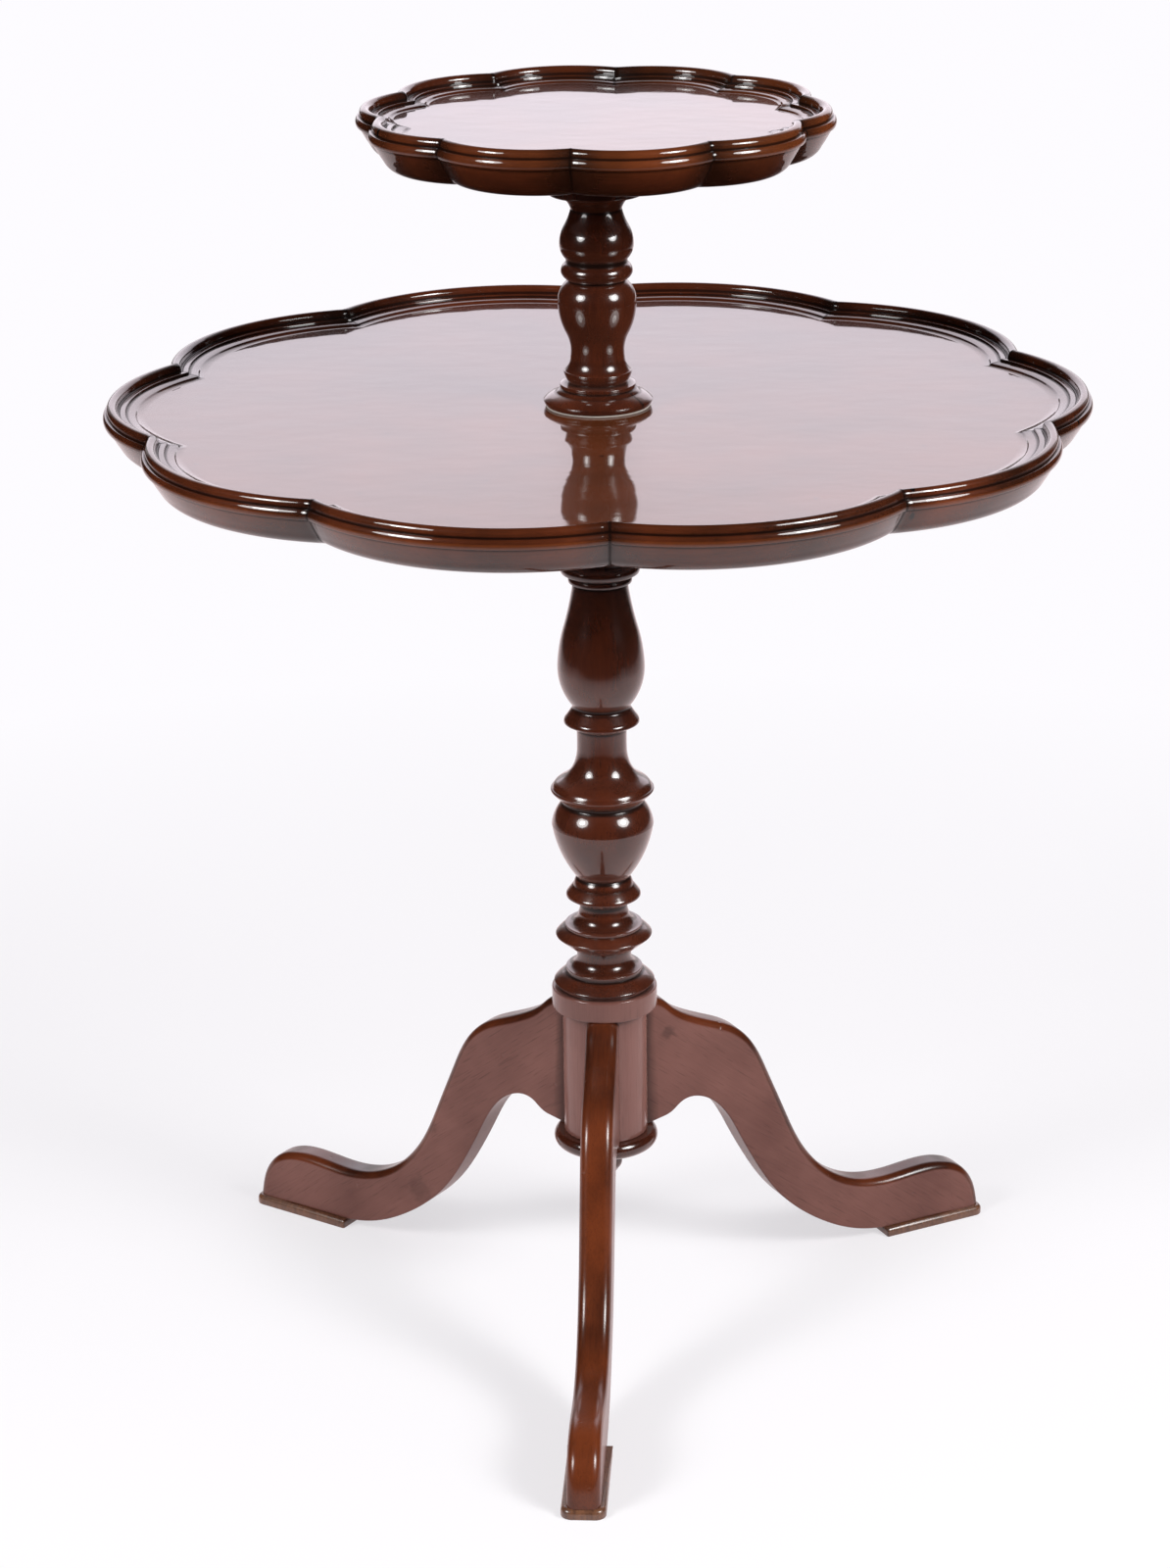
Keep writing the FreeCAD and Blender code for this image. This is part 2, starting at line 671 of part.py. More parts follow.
def make_upper_stem():
    """Turned column between the trays: tenon into the lower one, pivot for the upper tray."""
    points, swells = turned("upper", UPPER_TURNING, size("upper_foot_radius"))
    tenon, long = size("upper_tenon_radius"), size("upper_tenon_long")
    seat, pivot = points[-1][1], size("pivot_radius")
    top = seat + size("leather_thick") + size("upper_boss_tall") + size("pivot_in_tray")
    below = [(0, -long), (tenon, -long), (tenon, 0)]
    above = [(pivot, seat), (pivot, top), (0, top), (0, -long)]
    outline = chain(below + points + above, [0] * len(below) + swells)
    return lathe("upper_stem", "levels.upper_stem_base", outline)


# ---------------------------------------------------------------- trays

def make_boss(tier, bore):
    """Turned boss under a tray, with a flange that takes the screws."""
    tall, foot, flange = (size(f"{tier}_{part}") for part in ("boss_tall", "boss_radius", "flange_radius"))
    hole = bore + size("running_gap")
    arris, band, cove = size("boss_arris"), size("boss_band_tall"), size("boss_cove")
    ledge = tall - size("flange_thick")
    outline = chain((
        (hole, 0), (foot - arris, 0), (foot, arris), (foot, band), (foot, ledge), (flange - arris, ledge),
        (flange, ledge + arris), (flange, tall), (hole, tall), (hole, 0),
    ), (0, 0, 0, -cove))
    piece = lathe(f"{tier}_tray_boss", f"levels.{tier}_boss_base", outline, f"sizes.{tier}_tray_turn")
    drill(piece, f"sizes.{tier}_flange_radius - sizes.screw_edge_margin", "sizes.boss_screw_count",
          f"sizes.{tier}_boss_tall - sizes.flange_thick")
    return piece


def lobe(tier):
    """Radius of a lobe's outline and distance of its centre from the tray's axis."""
    peak, cusp = size(f"{tier}_peak_radius"), size(f"{tier}_cusp_radius")
    half = math.pi / size("lobe_count")
    chord, rise = cusp * math.sin(half), peak - cusp * math.cos(half)
    radius = (chord ** 2 + rise ** 2) / (2 * rise)
    return radius, peak - radius


def lobe_section(radius, field):
    """Half section of one lobe about the lobe's own axis: underside, rim mouldings and dished field."""
    points, swells = [(radius - size("rim_belly_inset_foot"), 0)], []
    for name, *_ in RIM_SECTION:
        points.append((radius - size(f"rim_{name}_inset"), field + size(f"rim_{name}_height")))
        swells.append(size(f"rim_{name}_swell"))
    inner = [(radius - size("rim_field_inset"), field), (0, field), (0, 0)]
    return chain([(0, 0)] + points + inner, [0] + swells)


def make_tray(tier, bore, deep):
    """Lobed tray: one lobe turned about its own axis, mitred, repeated round the tray and bored."""
    radius, centre = lobe(tier)
    piece = body(f"{tier}_tray", f"levels.{tier}_tray_base", f"sizes.{tier}_tray_turn")
    section = sketch(piece, "lobe_section", "XZ_Plane", lobe_section(radius, size("tray_board")))
    section.AttachmentOffset = FreeCAD.Placement(V(centre, 0, 0), FreeCAD.Rotation())
    revolve(piece, "lobe", section)
    near, far = centre * LOBE_START, 3 * size(f"{tier}_peak_radius")
    slope = math.tan(math.pi / size("lobe_count"))
    beyond = (
        (near, near * slope), (far, far * slope), (far, 2 * far), (-far, 2 * far), (-far, -2 * far),
        (far, -2 * far), (far, -far * slope), (near, -near * slope),
    )
    feature(piece, "Pocket", "mitres", sketch(piece, "outside_one_lobe", "XY_Plane", closed(beyond)),
            Type="ThroughAll", SideType="Symmetric")
    polar(piece, "lobes", "sizes.lobe_count")
    core = sketch(piece, "field", "XY_Plane", [Part.Circle(V(0, 0, 0), UP, centre)])
    feature(piece, "Pad", "field_pad", core, Length="sizes.tray_board")
    hole = sketch(piece, "bore", "XY_Plane")
    circle(hole, f"{bore} + sizes.running_gap")
    feature(piece, "Pocket", "bore_cut", hole, Length=deep, Reversed=True)
    drill(piece, f"sizes.{tier}_flange_radius - sizes.screw_edge_margin", "sizes.boss_screw_count",
          "-sizes.flange_thick")
    return piece


def make_tier(tier, journal, deep):
    """A tray with its boss and screws."""
    ring_radius = f"sizes.{tier}_flange_radius - sizes.screw_edge_margin"
    return [
        make_tray(tier, f"sizes.{journal}", deep),
        make_boss(tier, size(journal)),
        screws(f"{tier}_boss_screws", ring_radius, f"levels.{tier}_flange_base", "sizes.boss_screw_count",
               f"sizes.{tier}_tray_turn"),
    ]


# ---------------------------------------------------------------- the whole table

def make_all():
    """Every piece of the table, in order from the floor up."""
    pieces = [make_foot_pad(side, turn) for side, turn in LEG_TURNS.items()]
    pieces += [make_leg(side, turn) for side, turn in LEG_TURNS.items()]
    pieces += [
        make_foot_pegs(), make_hub(), make_base_cap(), make_pendant(),
        screws("base_cap_screws", "-sizes.cap_screw_ring", "levels.cap_base", "sizes.cap_screw_count",
               FRONT_TURN),
        make_lower_stem(),
        ring("lower_leather_washer", "levels.lower_seat", "sizes.lower_leather_radius",
             "sizes.journal_radius + sizes.joint_gap", "sizes.leather_thick"),
    ]
    pieces += make_tier("lower", "journal_radius", "sizes.tray_board + sizes.end_gap")
    pieces += [
        ring("felt_ring", "levels.felt_base", "sizes.felt_radius", "sizes.journal_radius + sizes.joint_gap",
             "sizes.felt_thick"),
        make_upper_stem(),
        ring("upper_leather_washer", "levels.upper_seat", "sizes.upper_leather_radius",
             "sizes.pivot_radius + sizes.joint_gap", "sizes.leather_thick"),
    ]
    pieces += make_tier("upper", "pivot_radius", "sizes.pivot_in_tray + sizes.end_gap")
    return pieces


def check(pieces):
    """Stop if anything in the document failed or a piece has no sound solid."""
    for item in doc.Objects:
        if "Invalid" in item.State or "Error" in item.State:
            raise RuntimeError(f"{item.Label}: {item.State}")
    for piece in pieces:
        if piece.Shape.isNull() or not piece.Shape.isValid() or not piece.Shape.Solids:
            raise RuntimeError(f"{piece.Label} has no sound solid")


def export(pieces):
    """One STEP file for each piece, named after it."""
    os.makedirs("parts", exist_ok=True)
    for piece in pieces:
        piece.Shape.exportStep(f"parts/{piece.Label}.step")
        print(f"{piece.Label}: {len(piece.Shape.Solids)} solid(s), {piece.Shape.Volume / 1000:.1f} cm3")


table = make_all()
doc.recompute()
check(table)
export(table)
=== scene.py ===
"""Two-tier mahogany dumb waiter: a turned column on three cabriole legs, with two lobed, dished trays.

Metres, +Z up, origin on the floor under the column's axis, front leg along -Y. The pieces are drawn in
millimetres, as a joiner would set them out, and scaled once when their meshes are made.
"""
import logging
import math
from collections.abc import Iterable, Sequence
from dataclasses import dataclass, field
from enum import Enum
from functools import cached_property
from typing import Any

import bpy
from mathutils import Matrix, Vector

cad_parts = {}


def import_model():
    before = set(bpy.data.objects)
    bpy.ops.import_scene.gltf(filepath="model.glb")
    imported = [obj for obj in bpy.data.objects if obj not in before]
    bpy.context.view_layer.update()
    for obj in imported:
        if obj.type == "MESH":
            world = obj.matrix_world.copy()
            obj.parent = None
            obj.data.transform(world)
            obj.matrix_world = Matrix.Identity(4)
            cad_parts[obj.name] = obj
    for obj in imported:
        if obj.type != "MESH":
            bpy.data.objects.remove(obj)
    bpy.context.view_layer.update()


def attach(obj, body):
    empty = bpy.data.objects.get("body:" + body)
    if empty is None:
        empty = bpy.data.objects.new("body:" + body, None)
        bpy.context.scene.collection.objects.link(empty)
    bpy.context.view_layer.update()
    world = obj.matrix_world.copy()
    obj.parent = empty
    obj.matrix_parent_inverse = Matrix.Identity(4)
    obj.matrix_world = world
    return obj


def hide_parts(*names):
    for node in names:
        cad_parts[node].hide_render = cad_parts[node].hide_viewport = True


log = logging.getLogger("dumb_waiter")

Point = tuple[float, float]
Span = tuple[float, float]
Spot = tuple[float, float, float]
Colour = tuple[float, float, float]

MM = 0.001
TINY = 1e-6  # anything shorter counts as nothing
# Outlines, in millimetres.
FLAT_END = 0.5  # from the end of a straight run to its next point, so that flats shade flat
STRAIGHT_GAP = 12.0  # between the points of a straight run
ARC_GAP, ARC_TURN = 2.2, math.radians(7)  # most length and most turn between the points of an arc
LEAST_TURN = math.radians(9)  # corners that turn less stay as they are
MOST_TURN = 2.4  # radians of a corner's turn that its easing heeds at most
EASED_TURN = math.radians(14)  # most turn between the points of an eased corner
EASING_ROOM = 0.4  # share of the shorter run beside a corner that its easing may take
SAME_POINT = 1e-4  # closer points count as one
NEIGHBOURS = 40  # points on each side of one that may count as its neighbours
# Meshes.
CUT_ARRIS, CARVED_ARRIS = math.radians(35), math.radians(40)  # edges that turn more are shown sharp
LATHE_SEGMENTS = 112
UNDER_STEPS, CROWN_STEPS, PAD_EDGE_STEPS, PAD_CORNER_STEPS = 4, 8, 6, 8  # chords of each rounding
LEAST_BEND = 0.05  # mm that a pad's corner keeps however far in it is drawn
ROUND_FLANK = 10  # last point of a leg's cut that still counts as its flat side
ON_MITRE = 1e-4  # share of a lobe within which a point counts as lying on the mitre
ANY_MORE = 1e4  # makes any share above nothing count as whole
WASHER_PLAY = 0.1  # mm between a washer's hole and what stands in it
BLEACH_AND_LIGHT_EDGE = 0.5  # mm below an edge at which the bleach and the painted reflection change
# Finishes.
WOOD_IOR = 1.5


class Rider(Enum):
    """The bodies that pieces ride on."""

    STAND = "stand"
    LOWER = "lower_tray"
    UPPER = "upper_tray"


class Grain(Enum):
    """Which way the wood's fibres run in a piece, as shares of stretch along x, y and z."""

    UPRIGHT = (1.0, 1.0, 0.045)
    ACROSS = (0.045, 1.0, 1.0)


class Laid(Enum):
    """What a finish measures its grain in: the piece's own coordinates, or a vector kept on its mesh."""

    IN_PIECE = ""
    IN_BOARD = "board_place"


# ---------------------------------------------------------------- outlines


@dataclass
class Outline:
    """A half outline beside an axis, in millimetres, drawn stretch by stretch with the outside on its right.

    Corners between stretches are eased, outward ones more than inward ones, as sanding and polish leave them.
    """

    start: Point
    ridge_easing: float = 0.45
    quirk_easing: float = 0.12
    stretches: list[list[Point]] = field(default_factory=list)

    def end(self) -> Point:
        """Where the next stretch begins."""
        return self.stretches[-1][-1] if self.stretches else self.start

    def to(self, radius: float, height: float, swell: float = 0.0) -> "Outline":
        """Draw on to a point, straight or as an arc.

        Args:
            radius: Distance of the point from the axis.
            height: Height of the point.
            swell: How far the middle of the arc stands out to the right of the straight run.

        Returns:
            The same outline.
        """
        self.stretches.append(stretch(self.end(), (radius, height), swell))
        return self

    def members(self, rows: Iterable[tuple[float, float, float]]) -> "Outline":
        """Draw a stack of turned members upwards.

        Args:
            rows: Rise, radius at the top and swell of each member.

        Returns:
            The same outline.
        """
        for rise, radius, swell in rows:
            self.to(radius, self.end()[1] + rise, swell)
        return self

    def points(self) -> list[Point]:
        """Draw the whole outline with its corners eased.

        Returns:
            Its points.
        """
        runs = [list(run) for run in self.stretches]
        corners = [ease_corner(before, after, self.ridge_easing, self.quirk_easing)
                   for before, after in zip(runs, runs[1:])]
        drawn = list(runs[0])
        for corner, run in zip(corners, runs[1:]):
            drawn += corner + run
        return without_repeats(drawn)


def stretch(start: Point, end: Point, swell: float) -> list[Point]:
    """Points along one stretch of an outline.

    Args:
        start: First point.
        end: Last point.
        swell: Height of the arc to the right of the straight run, negative for a hollow.

    Returns:
        The points from start to end, close together near the ends so that flats shade flat.
    """
    run = (end[0] - start[0], end[1] - start[1])
    long = math.hypot(*run)
    if abs(swell) < TINY:
        near = min(FLAT_END, long / 4) / long
        inner = max(1, round(long / STRAIGHT_GAP))
        shares = [0.0, near] + [near + (1 - 2 * near) * i / inner for i in range(1, inner)] + [1 - near, 1.0]
        return [(start[0] + run[0] * share, start[1] + run[1] * share) for share in shares]
    sweep = 4 * math.atan(2 * abs(swell) / long)
    radius = long / (2 * math.sin(sweep / 2))
    side = (run[1] / long, -run[0] / long)
    sign = math.copysign(1.0, swell)
    middle = ((start[0] + end[0]) / 2, (start[1] + end[1]) / 2)
    back = sign * (abs(swell) - radius)
    centre = (middle[0] + side[0] * back, middle[1] + side[1] * back)
    steps = max(3, math.ceil(sweep / ARC_TURN), math.ceil(long / ARC_GAP))
    drawn = []
    for i in range(steps + 1):
        turn = -sweep / 2 + sweep * i / steps
        along, out = radius * math.sin(turn), sign * radius * math.cos(turn)
        drawn.append((
            centre[0] + run[0] / long * along + side[0] * out,
            centre[1] + run[1] / long * along + side[1] * out,
        ))
    return drawn


def trim(run: list[Point], distance: float) -> None:
    """Shorten a run of points at its end, in place.

    Args:
        run: The points, last one at the corner.
        distance: How much to take off.
    """
    left = distance
    while len(run) > 2 and math.dist(run[-1], run[-2]) <= left:
        left -= math.dist(run[-1], run[-2])
        run.pop()
    share = left / max(math.dist(run[-1], run[-2]), TINY)
    (x0, y0), (x1, y1) = run[-2], run[-1]
    run[-1] = (x1 + (x0 - x1) * share, y1 + (y0 - y1) * share)


def ease_corner(before: list[Point], after: list[Point], ridge: float, quirk: float) -> list[Point]:
    """Round the corner between two runs, which are shortened in place.

    Args:
        before: Points that end at the corner.
        after: Points that start at the corner.
        ridge: Easing radius of an outward corner.
        quirk: Easing radius of an inward corner.

    Returns:
        The points that go between the two shortened runs.
    """
    corner = before[-1]
    into = (corner[0] - before[-2][0], corner[1] - before[-2][1])
    out = (after[1][0] - corner[0], after[1][1] - corner[1])
    cross = into[0] * out[1] - into[1] * out[0]
    turn = math.atan2(cross, into[0] * out[0] + into[1] * out[1])
    if abs(turn) < LEAST_TURN:
        return []
    easing = ridge if turn > 0 else quirk
    room = min(run_length(before), run_length(after)) * EASING_ROOM
    cut = min(easing * math.tan(min(abs(turn), MOST_TURN) / 2), room)
    trim(before, cut)
    after.reverse()
    trim(after, cut)
    after.reverse()
    first, last = before[-1], after[0]
    steps = max(2, math.ceil(abs(turn) / EASED_TURN))
    drawn = []
    for i in range(1, steps):
        t = i / steps
        a, b, c = (1 - t) ** 2, 2 * t * (1 - t), t ** 2
        drawn.append((a * first[0] + b * corner[0] + c * last[0], a * first[1] + b * corner[1] + c * last[1]))
    return drawn


def run_length(run: Sequence[Point]) -> float:
    """Length along a run of points."""
    return sum(math.dist(a, b) for a, b in zip(run, run[1:]))


def without_repeats(points: Sequence[Point]) -> list[Point]:
    """The points without any that sit on the one before."""
    return [points[0], *(b for a, b in zip(points, points[1:]) if math.dist(a, b) > SAME_POINT)]


def hollows(points: Sequence[Point], reach: float = 3.5, depth: float = 1.0) -> list[float]:
    """How deep each point of an outline lies below its neighbours, where wax and dirt gather and shade is
    painted.

    Args:
        points: The outline, outside on its right.
        reach: How far along the outline neighbours count.
        depth: Mean depth that counts as fully hollow.

    Returns:
        A share from 0 to 1 for each point.
    """
    along = [0.0]
    for a, b in zip(points, points[1:]):
        along.append(along[-1] + math.dist(a, b))
    shares = []
    for i, here in enumerate(points):
        low, high = points[max(i - 1, 0)], points[min(i + 1, len(points) - 1)]
        run = (high[0] - low[0], high[1] - low[1])
        long = math.hypot(*run) or 1.0
        out = (run[1] / long, -run[0] / long)
        total = weight = 0.0
        for j in range(max(1, i - NEIGHBOURS), min(len(points) - 1, i + NEIGHBOURS)):
            if abs(along[j] - along[i]) <= reach:
                width = along[j + 1] - along[j - 1]
                rise = (points[j][0] - here[0]) * out[0] + (points[j][1] - here[1]) * out[1]
                total, weight = total + rise * width, weight + width
        shares.append(min(max(total / weight / depth, 0.0), 1.0) if weight else 0.0)
    return shares


# ---------------------------------------------------------------- meshes


def new_mesh(name: str, spots: Sequence[Sequence[float]], faces: Sequence[Sequence[int]]) -> bpy.types.Mesh:
    """A mesh from points in millimetres.

    Args:
        name: Its name.
        spots: Points.
        faces: Point numbers round each face, outside seen anticlockwise.

    Returns:
        The mesh, smooth shaded.
    """
    mesh = bpy.data.meshes.new(name)
    mesh.from_pydata([(x * MM, y * MM, z * MM) for x, y, z in spots], [], faces)
    mesh.validate()
    mesh.shade_smooth()
    return mesh


def store(mesh: bpy.types.Mesh, name: str, values: Iterable[float]) -> None:
    """Keep one number for each point of a mesh under a name."""
    mesh.attributes.new(name, "FLOAT", "POINT").data.foreach_set("value", list(values))


def lathe(name: str, outline: Outline, segments: int = LATHE_SEGMENTS) -> bpy.types.Mesh:
    """Turn an outline once round the Z axis.

    Args:
        name: Name of the mesh.
        outline: Half outline; an end on the axis becomes a pole, and otherwise the ends are joined.
        segments: Faces round the axis.

    Returns:
        A closed mesh with the attribute "hollow".
    """
    points = outline.points()
    deep = hollows(points)
    spots: list[Spot] = []
    shares: list[float] = []
    rings: list[list[int]] = []
    for (radius, height), share in zip(points, deep):
        first = len(spots)
        if radius < TINY:
            spots.append((0.0, 0.0, height))
            rings.append([first] * segments)
        else:
            for k in range(segments):
                turn = 2 * math.pi * k / segments
                spots.append((radius * math.cos(turn), radius * math.sin(turn), height))
            rings.append(list(range(first, first + segments)))
        shares += [share] * (len(spots) - first)
    if points[0][0] > TINY:
        rings.append(rings[0])
    faces = []
    for low, high in zip(rings, rings[1:]):
        for k in range(segments):
            after = (k + 1) % segments
            ring = (low[k], low[after], high[after], high[k])
            faces.append(tuple(dict.fromkeys(ring)))
    mesh = new_mesh(name, spots, [face for face in faces if len(face) > 2])
    store(mesh, "hollow", shares)
    return mesh

def skin(name: str, rings: Sequence[Sequence[Spot]]) -> bpy.types.Mesh:
    """A closed mesh over rings of points, with flat ends.

    Args:
        name: Name of the mesh.
        rings: The rings, each anticlockwise as seen from the last one.

    Returns:
        The mesh, its arrises sharp.
    """
    width, last = len(rings[0]), (len(rings) - 1) * len(rings[0])
    faces: list[tuple[int, ...]] = [tuple(reversed(range(width)))]
    for first in range(0, last, width):
        for k in range(width):
            here, after = first + k, first + (k + 1) % width
            faces.append((after, after + width, here + width, here))
    faces.append(tuple(range(last, last + width)))
    mesh = new_mesh(name, [spot for ring in rings for spot in ring], faces)
    mesh.set_sharp_from_angle(angle=CARVED_ARRIS)
    return mesh


def put_in_scene(name: str, data: bpy.types.ID) -> bpy.types.Object:
    """A mesh, a lamp or a camera put in the scene as an object.

    Args:
        name: Name of the object.
        data: What it shows.

    Returns:
        The object.
    """
    made = bpy.data.objects.new(name, data)
    bpy.context.scene.collection.objects.link(made)
    return made


def place(name: str, mesh: bpy.types.Mesh, finish: "Finish", rider: Rider, node: str) -> None:
    """Put a finished piece in the scene, on the body that carries it, and hide the CAD node that it stands
    for.

    Args:
        name: Name of the piece.
        mesh: Its mesh, already where it belongs.
        finish: Its finish, named as its material slot in the record is.
        rider: Body that carries it.
        node: CAD node that it stands for.
    """
    mesh.materials.clear()
    mesh.materials.append(finish.material)
    piece = put_in_scene(name, mesh)
    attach(piece, rider.value)
    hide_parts(node)
    log.info("%s: %d faces on %s", name, len(mesh.polygons), rider.value)


# ---------------------------------------------------------------- node trees


class Output:
    """An output of a node, which is added, taken away, multiplied and divided like a number."""

    def __init__(self, nodes: "Nodes", node: bpy.types.Node, key: int | str = 0) -> None:
        """Take one output of a node.

        Args:
            nodes: The tree that the node stands in.
            node: The node.
            key: Name or number of the output.
        """
        self.nodes, self.node, self.socket = nodes, node, node.outputs[key]

    def __getitem__(self, key: int | str) -> "Output":
        """Another output of the same node."""
        return Output(self.nodes, self.node, key)

    def __add__(self, other: "Value") -> "Output":
        """This and another."""
        return self.nodes.math("ADD", self, other)

    def __sub__(self, other: "Value") -> "Output":
        """This less another."""
        return self.nodes.math("SUBTRACT", self, other)

    def __rsub__(self, other: float) -> "Output":
        """A plain number less this."""
        return self.nodes.math("SUBTRACT", other, self)

    def __mul__(self, other: "Value") -> "Output":
        """This times another."""
        return self.nodes.math("MULTIPLY", self, other)

    def __truediv__(self, other: "Value") -> "Output":
        """This divided by another."""
        return self.nodes.math("DIVIDE", self, other)

    def __rtruediv__(self, other: float) -> "Output":
        """A plain number divided by this."""
        return self.nodes.math("DIVIDE", other, self)


Value = Output | float


class Nodes:
    """A node tree, with short ways to add nodes and join them."""

    def __init__(self, tree: bpy.types.NodeTree) -> None:
        """Work in a tree."""
        self.tree = tree

    def put(self, socket: bpy.types.NodeSocket, value: Any) -> None:
        """Join an output to an input, or set the input's own value.

        Args:
            socket: The input.
            value: An output or a plain value.
        """
        if isinstance(value, Output):
            self.tree.links.new(value.socket, socket)
        else:
            socket.default_value = value

    def add(self, kind: str, inputs: dict[int | str, Any] | None = None, **settings: Any) -> Output:
        """Add a node.

        Args:
            kind: Blender's name of the node type.
            inputs: Outputs or plain values for its inputs, by name or number.
            settings: Its own settings.

        Returns:
            Its first output.
        """
        node = self.tree.nodes.new(kind)
        for key, value in settings.items():
            setattr(node, key, value)
        for key, value in (inputs or {}).items():
            self.put(node.inputs[key], value)
        return Output(self, node)

    def math(self, operation: str, first: Value, second: Value = 0.0) -> Output:
        """Result of a sum on one or two numbers."""
        return self.add("ShaderNodeMath", {0: first, 1: second}, operation=operation)

    def spread(self, value: Output, low: float, high: float, start: float = 0.0, end: float = 1.0,
               **settings: Any) -> Output:
        """A value mapped from low..high to start..end and held within it."""
        inputs = {"Value": value, "From Min": low, "From Max": high, "To Min": start, "To Max": end}
        return self.add("ShaderNodeMapRange", inputs, **settings)


class Shader(Nodes):
    """A material's node tree, with short ways to lay colours and patterns."""

    def __init__(self, name: str) -> None:
        """Start a material with an empty Principled shader.

        Args:
            name: Name of the material.
        """
        self.material = bpy.data.materials.new(name)
        self.material.use_nodes = True
        super().__init__(self.material.node_tree)
        self.surface = next(node for node in self.tree.nodes if node.type == "BSDF_PRINCIPLED")

    def set(self, **values: Any) -> None:
        """Set inputs of the surface shader, spaces in their names written as underscores."""
        for key, value in values.items():
            self.put(self.surface.inputs[key.replace("_", " ")], value)

    def blend(self, share: Output, first: "Colour | Output", second: "Colour | Output") -> Output:
        """One colour mixed into another by a share."""
        inputs = {0: share, 6: opaque(first), 7: opaque(second)}
        return self.add("ShaderNodeMix", inputs, data_type="RGBA")[2]

    def noise(self, vector: Output, scale: float, detail: float = 2.0, rough: float = 0.5) -> Output:
        """Noise over a vector, 0 to 1."""
        inputs = {"Vector": vector, "Scale": scale, "Detail": detail, "Roughness": rough}
        return self.add("ShaderNodeTexNoise", inputs)

    def attribute(self, name: str) -> Output:
        """A number kept on the mesh under a name."""
        return self.add("ShaderNodeAttribute", attribute_name=name)["Fac"]

    def spot(self, stretched: Spot = (1.0, 1.0, 1.0), laid: Laid = Laid.IN_PIECE) -> Output:
        """Where a point of the surface lies.

        Args:
            stretched: Scale of each coordinate.
            laid: What it is measured in.

        Returns:
            The place as a vector.
        """
        if laid is Laid.IN_PIECE:
            place_in = self.add("ShaderNodeTexCoord")["Object"]
        else:
            place_in = self.attribute(laid.value)["Vector"]
        return self.add("ShaderNodeMapping", {"Vector": place_in, "Scale": stretched})

    def relief(self, height: Output, depth: float, strength: float, below: Output | None = None) -> Output:
        """A bump from a height.

        Args:
            height: The height, 0 to 1.
            depth: What a height of 1 comes to, in metres.
            strength: Share of the bump that shows.
            below: Another bump that it lies on.

        Returns:
            The bumped normal.
        """
        inputs = {"Height": height, "Distance": depth, "Strength": strength}
        return self.add("ShaderNodeBump", inputs if below is None else inputs | {"Normal": below})


def opaque(colour: "Colour | Output") -> Any:
    """A plain colour with full cover; a node's output stays as it is."""
    return colour if isinstance(colour, Output) else (*colour, 1.0)


# ---------------------------------------------------------------- finishes


@dataclass(frozen=True)
class Finish:
    """What all finishes share: a name, which is also their slot in the record, and how they are made."""

    name: str

    @cached_property
    def material(self) -> bpy.types.Material:
        """Make the material when the first piece asks for it.

        Returns:
            The material.
        """
        shader = Shader(self.name)
        self.paint(shader)
        return shader.material

    def paint(self, shader: Shader) -> None:
        """Lay the finish on a fresh material."""
        raise NotImplementedError


@dataclass(frozen=True)
class Stain:
    """A dark blot on a piece, its place in the coordinates that the piece's grain is measured in."""

    place: Spot
    reach: float
    strength: float
    ragged_scale: float = 260.0
    blurred: float = 1.6


